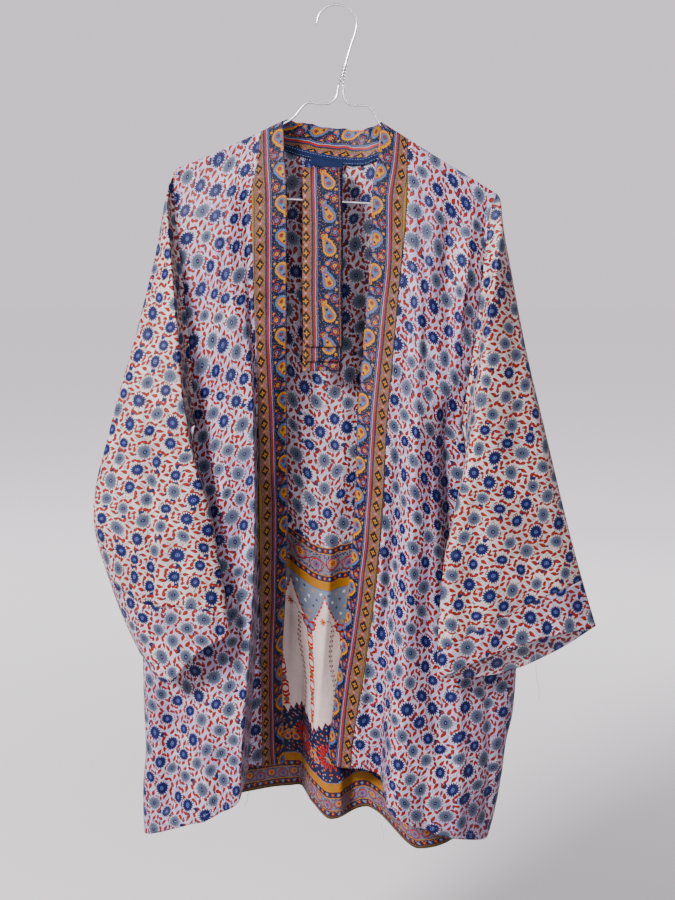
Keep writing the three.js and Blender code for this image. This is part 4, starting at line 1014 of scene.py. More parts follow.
    # eye: a pale ring about a dark dot on the navy flower, a navy ring about a pale dot on the grey one
    rr = g.vm("LENGTH", g.vm("MULTIPLY", P, (1.0, 0.78, 0.0)))
    col = g.mix(g.near(rr, 1.6, 0.3), col, g.mix(odd, lin(124, 138, 186), lin(22, 40, 104)))
    col = g.mix(g.near(rr, 0.95, 0.36), col, lin(22, 38, 98))
    col = g.mix(g.near(rr, 0.0, 0.5), col, lin(160, 170, 200))
    if strong < 1:
        col = g.mix(1 - strong, col, base)
    return col


def ground(g, uv, a, b):
    """Undyed silk with slow clouds of tone."""
    cloud = g.noise(uv, 0.018, 3.0, 0.6)
    base = g.mix(g.m("MULTIPLY_ADD", cloud, 3.0, -1.0, True), a, b)
    return base


def weave(g, uv, col):
    # slubs: short darker runs of thread each way
    s1 = g.noise(g.vm("MULTIPLY", uv, (0.35, 3.4, 1.0)), 1.0, 2.0, 0.6)
    s2 = g.noise(g.vm("MULTIPLY", uv, (3.4, 0.30, 1.0)), 1.0, 2.0, 0.6)
    k = g.ma(s1 + s2, 0.26, 0.74)
    o = g.n("VectorMath", operation="SCALE")
    g.put(o.inputs[0], col)
    g.put(o.inputs["Scale"], k)
    return o.outputs[0]


def finish_cloth(g, uv, col, rough=0.6, sheen=0.02, bump=0.35, spec=0.11):
    gm = g.n("Gamma")
    g.put(gm.inputs["Color"], col)
    gm.inputs["Gamma"].default_value = 1.82
    hs = g.n("HueSaturation")
    hs.inputs["Saturation"].default_value = 1.04
    hs.inputs["Value"].default_value = 0.50
    g.put(hs.inputs["Color"], gm.outputs[0])
    col = hs.outputs[0]
    u = g.vm("MULTIPLY", uv, (1.0, 1.0, 1.0))
    h1 = g.noise(g.vm("MULTIPLY", uv, (0.5, 2.6, 1.0)), 1.0, 3.0, 0.6)
    h2 = g.noise(uv, 0.16, 3.0, 0.55)
    h = g.ma(h2, 2.4, h1)
    b = g.n("Bump")
    b.inputs["Strength"].default_value = bump
    b.inputs["Distance"].default_value = 0.0006
    g.put(b.inputs["Height"], h)
    p = g.n("BsdfPrincipled")
    g.put(p.inputs["Base Color"], col)
    p.inputs["Roughness"].default_value = rough
    p.inputs["Specular IOR Level"].default_value = spec
    p.inputs["Sheen Weight"].default_value = sheen
    p.inputs["Sheen Roughness"].default_value = 0.35
    p.inputs["Sheen Tint"].default_value = (0.95, 0.93, 1.0, 1.0)
    g.t.links.new(b.outputs[0], p.inputs["Normal"])
    out = g.n("OutputMaterial")
    g.t.links.new(p.outputs[0], out.inputs[0])


LILAC_A, LILAC_B = lin(186, 177, 197), lin(204, 196, 208)
CREAM_A, CREAM_B = lin(194, 184, 184), lin(211, 202, 202)


def silk(name, a, b, stretch, strong=1.0, rough=0.55):
    g = Nodes(name)
    uv = g.uv()
    col = floral(g, uv, ground(g, uv, a, b), stretch, strong)
    finish_cloth(g, uv, weave(g, uv, col), rough)


silk("silk", LILAC_A, LILAC_B, (0.93, 0.97))
silk("silk_cuff", lin(190, 181, 194), lin(207, 199, 207), (0.97, 1.0))
silk("silk_warm", CREAM_A, CREAM_B, (1.0, 0.98), rough=0.5)
silk("silk_in", lin(206, 196, 206), lin(218, 209, 216), (1.0, 0.93), 0.84)


# ------------------------------------------------------------------ border
NAVY, GOLD, RED, SLATE, OLIVE, BLACK = (lin(12, 32, 94), lin(192, 156, 18), lin(174, 50, 10), lin(122, 138, 164),
                                        lin(134, 116, 66), lin(20, 20, 30))


class Paint:
    """Flat colours laid one over the other."""

    def __init__(s, g, first):
        s.g, s.c = g, first

    def put(s, mask, colour, weight=None):
        s.c = s.g.mix(mask if weight is None else mask * weight, s.c, colour)


def border_colour(g, W, V, turned):
    """Woven-look border, 48 mm wide: paisley strip, red line, diamond strip, gold line.
    W runs across from the paisley edge, V along. turned lays the paisleys the other way up."""
    a = g.vec(W, V, 0.0)
    n = g.vm("MULTIPLY_ADD", g.vm("SUBTRACT", g.noise(a, 0.22, 1.0, 0.5, True), (0.5, 0.5, 0.5)), (0.9, 0.9, 0.0), a)
    W, V, _ = g.sep(n)
    p = Paint(g, NAVY)
    # ---- paisley strip, repeat 37 mm
    rep = 37.0
    row = g.m("FLOOR", V / rep)
    odd = g.m("PINGPONG", row, 1.0)
    v = V - (row + 0.5) * rep
    w = W - 13.5
    if turned:
        w, v = w * -1.0, v * -1.0
    P = g.vec(w, v, 0.0)
    # the bulb, and a tail bent from it: circles of falling size
    def disc(cx, cy, r):
        return g.vm("DISTANCE", P, (cx, cy, 0.0)) - r

    body = disc(-0.8, 2.6, 7.0)
    for cx, cy, r in ((1.0, -2.4, 5.6), (3.0, -6.4, 3.9), (4.7, -9.4, 2.6), (4.6, -12.0, 1.6), (2.9, -13.3, 1.05)):
        body = g.m("SMOOTH_MIN", body, disc(cx, cy, r), 1.6)
    d = g.vm("SUBTRACT", P, (-0.4, 0.6, 0.0))
    dx, dy, _ = g.sep(d)
    teeth = g.m("PINGPONG", g.m("ARCTAN2", dy, dx) * (26 / (2 * math.pi)), 0.5)
    toothed = g.ma(teeth, -1.9, body)
    rim_c = g.mix(odd, GOLD, SLATE)
    fill_c = g.mix(odd, SLATE, GOLD)
    p.put(g.under(toothed, 0.1, 0.4), rim_c)
    p.put(g.under(body, -1.9, 0.35), RED)
    p.put(g.under(body, -2.5, 0.35), fill_c)
    f = g.rosette(P, -0.9, 3.0, 3.0, 8, 0.26)
    p.put(g.under(f, 1.0, 0.2), NAVY)
    p.put(g.under(f, 0.62, 0.2), RED)
    f = g.rosette(P, 2.2, -4.4, 1.7, 6, 0.2)
    p.put(g.under(f, 1.0, 0.25), NAVY)
    # between them a small comma, two rosettes in red arcs, dots
    Q = g.vec(w, g.m("WRAP", v, rep, 0.0) - rep / 2, 0.0)
    f = g.rosette(Q, -6.6, 1.8, 2.9, 8, 0.22)
    p.put(g.near(g.vm("DISTANCE", Q, (-6.6, 1.8, 0.0)), 4.1, 0.35), RED)
    p.put(g.under(f, 1.0, 0.2), g.mix(odd, SLATE, GOLD))
    p.put(g.under(f, 0.42, 0.2), RED)
    f = g.rosette(Q, 7.0, 6.0, 2.5, 6, 0.25)
    p.put(g.near(g.vm("DISTANCE", Q, (7.0, 6.0, 0.0)), 3.7, 0.3), RED)
    p.put(g.under(f, 1.0, 0.2), GOLD)
    p.put(g.under(f, 0.4, 0.2), NAVY)
    c1 = g.vm("DISTANCE", Q, (1.6, -0.6, 0.0)) - 2.9
    c1 = g.m("SMOOTH_MIN", c1, g.vm("DISTANCE", Q, (-1.0, -3.6, 0.0)) - 1.6, 1.2)
    c1 = g.m("SMOOTH_MIN", c1, g.vm("DISTANCE", Q, (-3.6, -4.4, 0.0)) - 0.9, 1.0)
    p.put(g.under(c1, 0.0, 0.35), SLATE)
    p.put(g.under(c1, -0.8, 0.35), RED)
    p.put(g.under(c1, -1.5, 0.35), GOLD)
    f = g.rosette(Q, -8.8, -8.6, 2.0, 5, 0.3)
    p.put(g.under(f, 1.0, 0.25), GOLD)
    f = g.rosette(P, -9.6, -8.8, 2.3, 6, 0.3)
    p.put(g.under(f, 1.0, 0.25), RED)
    p.put(g.under(f, 0.5, 0.25), GOLD)
    # small leaves and dots scattered on the navy
    vor = g.n("TexVoronoi", voronoi_dimensions="2D", feature="F1")
    g.put(vor.inputs["Vector"], n)
    vor.inputs["Scale"].default_value = 0.34
    far = g.both(g.m("GREATER_THAN", body, 1.2), g.m("GREATER_THAN", c1, 1.0))
    _, _, vz = g.sep(vor.outputs["Color"])
    p.put(g.both(g.m("LESS_THAN", X(g, vor.outputs["Distance"]), 0.17), far), g.mix(g.m("GREATER_THAN", vz, 0.45), GOLD, SLATE), 0.85)
    # edge line of the strip
    p.put(g.near(W, 0.9, 0.45), lin(150, 120, 70))
    p.put(g.near(W, 26.2, 0.4), lin(120, 132, 160))
    # ---- the red line and its pale edges
    inner = g.m("GREATER_THAN", W, 27.4)
    p.put(inner, lin(58, 78, 122))
    p.put(g.near(W, 28.0, 0.35), lin(170, 176, 186))
    p.put(g.near(W, 29.7, 1.15), lin(176, 54, 4))
    # ---- diamonds, repeat 18 mm
    strip = g.m("GREATER_THAN", W, 32.0)
    dots = g.n("TexVoronoi", voronoi_dimensions="2D", feature="F1")
    g.put(dots.inputs["Vector"], n)
    dots.inputs["Scale"].default_value = 0.62
    ground_c = g.mix(g.m("LESS_THAN", X(g, dots.outputs["Distance"]), 0.3), lin(152, 132, 108), lin(112, 90, 58))
    p.put(strip, ground_c)
    u2 = W - 39.2
    vd = V - g.m("FLOOR", V / 18.0) * 18.0 - 9.0
    k = g.ma(abs(vd), 1 / 6.8, abs(u2) * (1 / 4.7))
    e = g.ma(abs(abs(vd) - 9.0), 1 / 4.4, abs(u2) * (1 / 6.4))
    p.put(g.both(strip, g.under(e, 0.86, 0.12)), lin(128, 132, 146))
    p.put(g.both(strip, g.near(e, 0.62, 0.11)), lin(170, 96, 78))
    p.put(g.both(strip, g.under(e, 0.26, 0.1)), GOLD)
    p.put(g.both(strip, g.under(k, 1.22, 0.1)), lin(176, 120, 70))
    p.put(g.both(strip, g.under(k, 1.06, 0.1)), BLACK)
    p.put(g.both(strip, g.under(k, 0.70, 0.1)), lin(62, 48, 40))
    D = g.vec(u2, vd, 0.0)
    f = g.rosette(D, 0.0, 0.0, 2.8, 4, 0.36)
    p.put(g.both(strip, g.under(f, 1.0, 0.2)), GOLD)
    p.put(g.both(strip, g.under(f, 0.36, 0.2)), lin(150, 40, 30))
    # ---- closing lines
    p.put(g.near(W, 32.5, 0.4), lin(40, 44, 70))
    p.put(g.m("GREATER_THAN", W, 45.9), lin(164, 138, 70))
    p.put(g.near(W, 46.0, 0.3), lin(60, 50, 40))
    return p.c


def border(name, shift, turned=True, dim=1.0, flip=False, off=0.0):
    g = Nodes(name)
    uv = g.uv()
    U, V, _ = g.sep(uv)
    if flip:
        col = border_colour(g, 41.8 - U, V + off, turned)
    else:
        col = border_colour(g, U + shift, V + off, turned)
    if dim < 1:
        col = g.mix(1 - dim, col, lin(120, 112, 118))
    finish_cloth(g, uv, weave(g, uv, col), 0.55, 0.02, 0.3)


border("border", 8.0)
border("border_in", 8.0, dim=0.62)
border("belt", 0.0, turned=False, flip=True)


# ------------------------------------------------------------------ back end piece
def back_print(g, uv, top, inside):
    """The back: flower print above, and below 333 mm a worked end piece, its bands and
    pointed arches at heights H over the hem, arches 48 mm wide."""
    wob = g.vm("MULTIPLY_ADD", g.vm("SUBTRACT", g.noise(uv, 0.16, 1.0, 0.5, True), (0.5, 0.5, 0.5)), (1.2, 1.2, 0.0), uv)
    U, V, _ = g.sep(wob)
    H = V * -1.0
    p = Paint(g, top)
    below = g.m("LESS_THAN", H, 332.4)
    # ---- slate field with small sprigs
    p.put(below, lin(146, 152, 165))
    row = g.m("FLOOR", H / 9.0)
    col_ = g.ma(g.m("PINGPONG", row, 1.0), 5.5, U)
    cell = g.m("FLOOR", col_ / 11.0)
    sx, sy = col_ - (cell + 0.5) * 11.0, H - (row + 0.5) * 9.0
    kind = g.m("WRAP", g.ma(row, 2.0, cell), 3.0, 0.0)
    f = g.rosette(g.vec(sx, sy), 0.0, 0.0, 2.1, 5, 0.38)
    sprig = g.mix(g.m("GREATER_THAN", kind, 0.5), lin(34, 50, 112), g.mix(g.m("GREATER_THAN", kind, 1.5), lin(206, 168, 76), lin(222, 220, 222)))
    p.put(g.both(below, g.under(f, 1.0, 0.25)), sprig)
    # ---- cream arches
    ua = g.m("WRAP", U, 24.0, -24.0)
    uc = g.m("WRAP", U, 48.0, 0.0) - 24.0
    au = abs(ua)
    slope = g.m("POWER", au / 24.0, 0.82)
    he = g.ma(slope, -47.0, 272.0)
    e = H - he
    under_arch = g.m("LESS_THAN", e, 0.0)
    cream = g.mix(g.noise(uv, 0.05, 2.0, 0.6), lin(212, 198, 194), lin(226, 214, 212))
    p.put(under_arch, cream)
    leafy = g.ma(g.m("SINE", H * 1.05), 1.1, 1.6)
    p.put(g.m("COMPARE", e, 0.6, leafy), lin(184, 54, 40))
    p.put(g.near(e, -2.6, 0.35), lin(196, 150, 80))
    # garland beside each arch's middle
    x = g.ma(g.m("SINE", H * 0.072), 2.4, ua - 8.5)
    hl = g.m("WRAP", H, 3.1, -3.1)
    in_h = g.near(H, 176.0, 62.0)
    p.put(g.both(in_h, g.near(x, 0.0, 0.32)), lin(108, 98, 74))
    ax = abs(x)
    d = g.ma(abs(hl), 0.5, abs(ax - 1.7) * 0.9)
    gc = g.mix(g.m("GREATER_THAN", x, 0.0), lin(128, 116, 84), lin(176, 66, 48))
    p.put(g.both(in_h, g.under(d, 0.95, 0.3)), gc)
    P = g.vec(ua, H)
    f = g.rosette(P, -3.6, 241.0, 5.2, 8, 0.3)
    p.put(g.under(f, 1.0, 0.16), lin(188, 62, 44))
    p.put(g.under(f, 0.66, 0.16), lin(206, 158, 78))
    p.put(g.under(f, 0.26, 0.16), lin(60, 64, 104))
    arc_ = g.near(g.vm("DISTANCE", P, (2.2, 236.0, 0.0)), 6.6, 0.4)
    p.put(g.both(arc_, g.m("GREATER_THAN", H, 238.0)), lin(120, 104, 76))
    # chain down each valley
    h = g.m("WRAP", H, 14.0, -14.0)
    ah = abs(h)
    C = g.vec(uc, ah)
    in_c = g.near(H, 162.0, 56.0)
    alt = g.m("PINGPONG", g.m("FLOOR", g.ma(H, 1 / 28.0, 0.5)), 1.0)
    f = g.rosette(C, 0.0, 0.0, 4.4, 9, 0.16)
    p.put(g.both(in_c, g.under(f, 1.0, 0.2)), g.mix(alt, lin(196, 146, 66), lin(146, 152, 164)))
    p.put(g.both(in_c, g.near(f, 0.62, 0.1)), lin(150, 116, 70))
    p.put(g.both(in_c, g.under(f, 0.34, 0.2)), g.mix(alt, lin(120, 132, 160), lin(200, 156, 84)))
    for y0 in (7.2, 11.6):
        d1, d2 = g.vm("DISTANCE", C, (0.0, y0, 0.0)), g.vm("DISTANCE", C, (0.0, y0 + 2.3, 0.0))
        spiky = g.ma(g.m("SINE", uc * 2.6), 0.35, d1)
        p.put(g.both(g.both(in_c, g.under(spiky, 4.3, 0.5)), g.m("GREATER_THAN", d2, 3.5)), lin(196, 66, 46))
    # heart over the chain
    K = g.vec(abs(uc), H)
    b = g.vm("DISTANCE", K, (3.6, 229.0, 0.0)) - 4.4
    b = g.m("SMOOTH_MIN", b, g.vm("DISTANCE", K, (0.0, 221.5, 0.0)) - 3.4, 3.0)
    b = g.m("SMOOTH_MIN", b, g.vm("DISTANCE", K, (8.2, 234.0, 0.0)) - 1.8, 1.5)
    p.put(g.under(b, 0.9, 0.5), lin(186, 56, 42))
    p.put(g.under(b, -0.9, 0.4), lin(150, 160, 180))
    p.put(g.under(g.rosette(K, 0.0, 226.0, 2.6, 6, 0.3), 1.0, 0.2), lin(32, 48, 104))
    p.put(g.under(g.rosette(K, 0.0, 238.0, 2.4, 6, 0.3), 1.0, 0.2), lin(206, 166, 80))
    # ---- navy field under the arches
    jag = g.ma(g.m("PINGPONG", U, 4.0), 1.7, g.ma(g.m("PINGPONG", U, 24.0), -0.75, 112.0))
    field = g.m("LESS_THAN", H - jag, 0.0)
    p.put(g.m("LESS_THAN", H - jag, 1.1), lin(176, 60, 46))
    p.put(field, lin(30, 42, 96))
    vor = g.n("TexVoronoi", voronoi_dimensions="2D", feature="F1")
    g.put(vor.inputs["Vector"], wob)
    vor.inputs["Scale"].default_value = 0.2
    _, _, vz = g.sep(vor.outputs["Color"])
    vd = X(g, vor.outputs["Distance"])
    p.put(g.both(field, g.m("LESS_THAN", vd, 0.24)), g.mix(g.m("GREATER_THAN", vz, 0.5), lin(190, 66, 52), lin(128, 142, 172)))
    p.put(g.both(field, g.m("LESS_THAN", vd, 0.1)), lin(208, 166, 84))
    F = g.vec(ua, H)
    fx, fy, _ = g.sep(g.vm("SUBTRACT", F, (0.0, 74.0, 0.0)))
    ang = g.m("ARCTAN2", fx, fy)
    rad = g.vm("LENGTH", g.vec(fx, fy))
    ray = g.m("PINGPONG", g.ma(ang, 15 / (2 * math.pi), 0.0), 0.5)
    fan = rad - g.ma(ray, 17.0, 9.5)
    p.put(g.both(field, g.under(fan, 0.0, 0.6)), lin(190, 52, 40))
    p.put(g.both(field, g.under(fan, -4.5, 0.6)), lin(142, 34, 32))
    f = g.rosette(F, 0.0, 74.0, 6.6, 8, 0.18)
    p.put(g.both(field, g.under(f, 1.0, 0.15)), lin(140, 150, 172))
    p.put(g.both(field, g.under(f, 0.7, 0.15)), lin(198, 152, 80))
    p.put(g.both(field, g.under(f, 0.36, 0.15)), lin(36, 44, 92))
    b = g.vm("DISTANCE", K, (5.0, 64.0, 0.0)) - 4.6
    b = g.m("SMOOTH_MIN", b, g.vm("DISTANCE", K, (3.0, 71.0, 0.0)) - 2.9, 2.0)
    b = g.m("SMOOTH_MIN", b, g.vm("DISTANCE", K, (5.2, 76.0, 0.0)) - 1.5, 1.5)
    p.put(g.both(field, g.under(b, 0.0, 0.4)), lin(204, 150, 62))
    p.put(g.both(field, g.under(b, -1.5, 0.4)), lin(124, 138, 168))
    p.put(g.both(field, g.under(b, -2.8, 0.4)), lin(180, 54, 44))
    # ---- mustard bands
    m = g.lo(abs(H - 285.2), abs(H - 38.0))
    p.put(g.m("LESS_THAN", m, 5.9), lin(124, 134, 156))
    mustard = g.mix(g.noise(g.vm("MULTIPLY", uv, (0.05, 1.4, 0.0)), 1.0, 2.0, 0.6), lin(168, 126, 28), lin(192, 152, 44))
    p.put(g.m("LESS_THAN", m, 4.9), mustard)
    # ---- scroll bands, the lower one smaller
    up = g.m("GREATER_THAN", H, 160.0)
    k = g.ma(up, -0.55, 1.55)
    hb = (H - g.ma(up, 293.6, 18.0)) * k
    ub = g.m("WRAP", U * k, 22.0, -22.0)
    in_s = g.m("LESS_THAN", abs(hb), 12.6)
    scroll_ground = lin(150, 142, 150)
    p.put(g.both(in_s, g.m("LESS_THAN", H, 400.0)), scroll_ground)
    S = g.vec(ub, hb)
    stem = abs(g.ma(g.m("SINE", ub * (math.pi / 22.0)), 5.4, hb))
    p.put(g.both(in_s, g.near(stem, 0.0, 0.75)), lin(180, 62, 50))
    for cx, cy, c1 in ((11.0, 2.0, lin(206, 158, 70)), (-11.0, -2.0, lin(112, 126, 162))):
        dd = g.vm("SUBTRACT", S, (cx, cy, 0.0))
        qx, qy, _ = g.sep(dd)
        rr = g.vm("LENGTH", dd)
        spiral = g.ma(g.m("ARCTAN2", qy, qx), 0.36, rr)
        p.put(g.both(in_s, g.near(spiral, 7.2, 0.62)), lin(180, 62, 50))
        lobes = g.ma(g.m("SINE", g.m("ARCTAN2", qy, qx) * 11.0), 0.5, rr)
        p.put(g.both(in_s, g.near(lobes, 8.9, 0.55)), lin(76, 84, 120))
        p.put(g.both(in_s, g.under(lobes, 4.5, 0.5)), c1)
        p.put(g.both(in_s, g.near(rr, 2.4, 0.5)), lin(176, 60, 46))
        p.put(g.both(in_s, g.under(rr, 1.2, 0.4)), lin(40, 50, 100))
    v2 = g.n("TexVoronoi", voronoi_dimensions="2D", feature="F1")
    g.put(v2.inputs["Vector"], S)
    v2.inputs["Scale"].default_value = 0.3
    near_edge = g.m("GREATER_THAN", abs(hb), 7.4)
    p.put(g.both(g.both(in_s, near_edge), g.m("LESS_THAN", X(g, v2.outputs["Distance"]), 0.3)), lin(52, 64, 116))
    # ---- narrow navy strips with dots, and their gold lines
    hs = g.lo(g.lo(abs(H - 6.4), abs(H - 29.4)), g.lo(abs(H - 294.6), abs(H - 328.4)))
    p.put(g.m("LESS_THAN", hs, 4.4), lin(190, 146, 62))
    p.put(g.m("LESS_THAN", hs, 3.4), lin(28, 38, 86))
    ud = g.m("WRAP", U, 3.6, -3.6)
    alt = g.m("PINGPONG", g.m("FLOOR", g.ma(U, 1 / 7.2, 0.5)), 1.0)
    in_d = g.m("LESS_THAN", hs, 3.3)
    f = g.rosette(g.vec(ud, hs), 0.0, 0.0, 2.5, 6, 0.3)
    p.put(g.both(in_d, g.under(f, 1.0, 0.25)), g.mix(alt, lin(196, 86, 62), lin(142, 156, 186)))
    p.put(g.both(in_d, g.under(f, 0.4, 0.25)), lin(206, 164, 80))
    p.put(g.both(in_d, g.near(g.ma(g.m("SINE", ud * 0.87), 1.6, hs), 2.7, 0.3)), lin(150, 100, 80))
    # ---- hem edge
    p.put(g.m("LESS_THAN", H, 2.8), lin(122, 104, 52))
    p.put(g.m("LESS_THAN", H, 1.0), lin(92, 80, 46))
    return p.c


def back_cloth(name, a, b, inside, dim):
    g = Nodes(name)
    uv = g.uv()
    top = floral(g, uv, ground(g, uv, a, b), (1.0, 0.93), 1.0)
    col = back_print(g, uv, top, inside)
    if dim < 1:
        col = g.mix(1 - dim, col, lin(150, 140, 148))
    finish_cloth(g, uv, weave(g, uv, col), 0.55, 0.08, 0.3)


back_cloth("back_out", LILAC_A, LILAC_B, False, 1.0)
back_cloth("back_in", lin(190, 182, 194), lin(206, 199, 208), True, 0.9)


# ------------------------------------------------------------------ trimmings
def tape_material():
    g = Nodes("tape")
    uv = g.uv()
    U, V, _ = g.sep(uv)
    rib = g.m("SINE", U * 7.5)
    n = g.noise(g.vm("MULTIPLY", uv, (0.4, 2.5, 1.0)), 1.0, 2.0, 0.6)
    col = g.mix(g.m("MULTIPLY_ADD", n, 1.6, -0.3, True), lin(3, 9, 30), lin(6, 17, 46))
    b = g.n("Bump")
    b.inputs["Strength"].default_value = 0.5
    b.inputs["Distance"].default_value = 0.0003
    g.put(b.inputs["Height"], g.ma(rib, 0.3, n))
    p = g.n("BsdfPrincipled")
    g.put(p.inputs["Base Color"], col)
    p.inputs["Roughness"].default_value = 0.75
    p.inputs["Specular IOR Level"].default_value = 0.08
    g.t.links.new(b.outputs[0], p.inputs["Normal"])
    out = g.n("OutputMaterial")
    g.t.links.new(p.outputs[0], out.inputs[0])


def wire_material():
    g = Nodes("wire")
    co = g.n("TexCoord").outputs["Object"]
    n = g.noise(co, 900.0, 3.0, 0.6, dims="3D")
    n2 = g.noise(co, 120.0, 2.0, 0.6, dims="3D")
    col = g.mix(n2, lin(136, 136, 142), lin(188, 188, 194))
    b = g.n("Bump")
    b.inputs["Strength"].default_value = 0.25
    b.inputs["Distance"].default_value = 0.0002
    g.put(b.inputs["Height"], n)
    p = g.n("BsdfPrincipled")
    g.put(p.inputs["Base Color"], col)
    p.inputs["Metallic"].default_value = 1.0
    g.put(p.inputs["Roughness"], g.ma(n, 0.16, 0.24))
    g.t.links.new(b.outputs[0], p.inputs["Normal"])
    out = g.n("OutputMaterial")
    g.t.links.new(p.outputs[0], out.inputs[0])


def plain_material(name, c, rough, **kw):
    g = Nodes(name)
    p = g.n("BsdfPrincipled")
    p.inputs["Base Color"].default_value = c
    p.inputs["Roughness"].default_value = rough
    for k, v in kw.items():
        p.inputs[k.replace("_", " ")].default_value = v
    out = g.n("OutputMaterial")
    g.t.links.new(p.outputs[0], out.inputs[0])


tape_material()
wire_material()
def floor_material():
    g = Nodes("floor")
    co = g.n("TexCoord").outputs["Object"]
    x, y, _ = g.sep(co)
    # painted shade: the floor is painted dark grey under and round the garment, out to 0.6 m from its middle, and pales
    # to near white by 4.5 m
    r = g.vm("LENGTH", g.vec(x, y, 0.0))
    floor_shade_ramp = g.n("MapRange", interpolation_type="SMOOTHSTEP")
    g.put(floor_shade_ramp.inputs["Value"], r)
    floor_shade_ramp.inputs["From Min"].default_value, floor_shade_ramp.inputs["From Max"].default_value = 0.6, 4.5
    p = g.n("BsdfPrincipled")
    g.put(p.inputs["Base Color"], g.mix(X(g, floor_shade_ramp.outputs[0]), (0.34, 0.33, 0.34, 1.0), (0.985, 0.975, 0.985, 1.0)))
    p.inputs["Roughness"].default_value = 0.9
    p.inputs["Specular IOR Level"].default_value = 0.1
    out = g.n("OutputMaterial")
    g.t.links.new(p.outputs[0], out.inputs[0])


floor_material()
plain_material("thread_navy", lin(30, 38, 84), 0.6, Sheen_Weight=0.2)
plain_material("thread_pale", lin(92, 84, 94), 0.6, Sheen_Weight=0.2)
plain_material("thread_blue", lin(96, 110, 150), 0.6, Sheen_Weight=0.2)


# ------------------------------------------------------------------ pieces
def flat_area(P):
    a, b, c, d = P[:-1, :-1], P[1:, :-1], P[1:, 1:], P[:-1, 1:]
    return float((np.linalg.norm(np.cross(b - a, c - a), axis=-1) + np.linalg.norm(np.cross(c - a, d - a), axis=-1)).sum() / 2) / 1e6


def down_from(P, base=-122.0):
    return arc(P, 1) + (base - P[:, :1, 2])


def cut_of(P):
    """Width, length and area of the flat piece that the grid P was cut from, metres."""
    w, l = float(arc(P, 0)[-1].max()) / 1000, float(arc(P, 1)[:, -1].max()) / 1000
    return (w, l), min(flat_area(P), 1.0 * w * l)


FRONT_PARTS = ("upper", "middle", "lower")


def cloth(name, P, uv, mats, outward, nodes, slot, held="hung", rests_on=(), with_pieces=(), flat=None, **kw):
    o = shell(name, P, uv, mats, np.array(outward, float), **kw)
    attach(o, "root")
    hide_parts(*nodes)
    f, a = cut_of(P) if flat is None else flat
    return o


def trim(name, V, F, mats, M=None, C=None, smooth_shade=True):
    o = build(name, V, F, mats, M, C, smooth_shade)
    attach(o, "root")
    return o


def uv_of(a, b):
    return np.stack([a, b], -1)


# hanger: smooth round wire, and a real coil round the shank
def wire_piece(name, parts, nodes):
    V, F, n = [], [], 0
    for v, f in parts:
        V.append((v + OFF) / 1000)
        F.append(np.array(f) + n)
        n += len(v)
    V = np.concatenate(V)
    quads = [q for f in F for q in f if q[3] != q[0]]
    tris = [q[:3] for f in F for q in f if q[3] == q[0]]
    me = bpy.data.meshes.new(name)
    me.from_pydata([tuple(v) for v in V], [], [tuple(int(i) for i in q) for q in quads + tris])
    me.polygons.foreach_set("use_smooth", [True] * len(me.polygons))
    me.update()
    me.validate()
    me.materials.append(MATS["wire"])
    o = bpy.data.objects.new(name, me)
    bpy.context.scene.collection.objects.link(o)
    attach(o, "root")
    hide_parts(*nodes)
    return o


hook_line = catmull(HOOK, 1.6)
r_hook = np.full(len(hook_line), WIRE / 2)
r_hook[:4] = [0.25, 0.85, 1.08, 1.17]
hook = wire_piece("wire_hook", [tube(hook_line, r_hook, 16)], ["hanger_hook"])
frame_line = catmull(HANGER, 2.4)
hanger = wire_piece("wire_frame", [tube(frame_line, WIRE / 2, 16)], ["hanger_frame"])


def coil():
    a, b = np.array([6.9, 0, -59.5]), np.array([1.8, 0, -79.6])
    d = b - a
    n = np.linalg.norm(d)
    d = d / n
    u = np.array([0, 1.0, 0])
    w = np.cross(d, u)
    parts = []
    for k, (s0, s1, turns, r) in enumerate([(0.06, 0.97, 5.2, 2.25)]):
        t = np.linspace(0, 1, 150)
        ang = t * turns * 2 * math.pi + 0.6
        along = (s0 + (s1 - s0) * t) * n
        rr = r + 0.12 * np.sin(t * 17)
        rr[:6] = np.linspace(1.5, rr[6], 6)
        P = a + d * along[:, None] + rr[:, None] * (np.cos(ang)[:, None] * u + np.sin(ang)[:, None] * w)
        parts.append(tube(P, 0.92, 10))
    return parts


twist = wire_piece("wire_coil", coil(), ["hanger_twist"])

tape = shell("neck_tape_woven", TAPE, uv_of(arc(TAPE, 0), arc(TAPE, 1)), ["tape", "tape"], np.array([0, -1.0, 0]), thick=0.55)
tab = shell("blank_tab", TAB, uv_of(arc(TAB, 0), arc(TAB, 1)), ["tape", "tape"], np.array([0, -1.0, 0]), thick=0.5)
for o, n in ((tape, "neck_tape"), (tab, "label_tab")):
    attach(o, "root")
    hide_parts(n)

sides = ("right", "left")
back_nodes = [f"back_{k}_{d}" for k in FRONT_PARTS for d in sides]
BK_U = arc(BK, 0)
centre = int(np.argmin(np.abs(BK[:, 60, 0] + 10)))
BK_U = BK_U - BK_U[centre:centre + 1]
BK_H = arc(BK, 1)
BK_H = BK_H[:, -1:] - BK_H
back = cloth("back_panel", BK, uv_of(BK_U, -BK_H), ["back_out", "back_in"], (0, 1, 0), back_nodes, "silk_print",
             rests_on=["hanger_frame"], with_pieces=[tape, tab])
front_left = cloth("front_panel_left", FL, uv_of(arc(FL, 0), arc(FL, 1)), ["silk", "silk_in"], (0, -1, 0),
                   [f"front_left_{k}" for k in FRONT_PARTS], "silk_print", rests_on=["hanger_frame"])
front_right = cloth("front_panel_right", FR, uv_of(-arc(FR, 0), arc(FR, 1)), ["silk", "silk_in"], (0, -1, 0),
                    [f"front_right_{k}" for k in FRONT_PARTS], "silk_print", rests_on=["hanger_frame"])


def band_uv(P):
    a = arc(P, 0)
    return uv_of(a[-1:] - a, arc(P, 1))


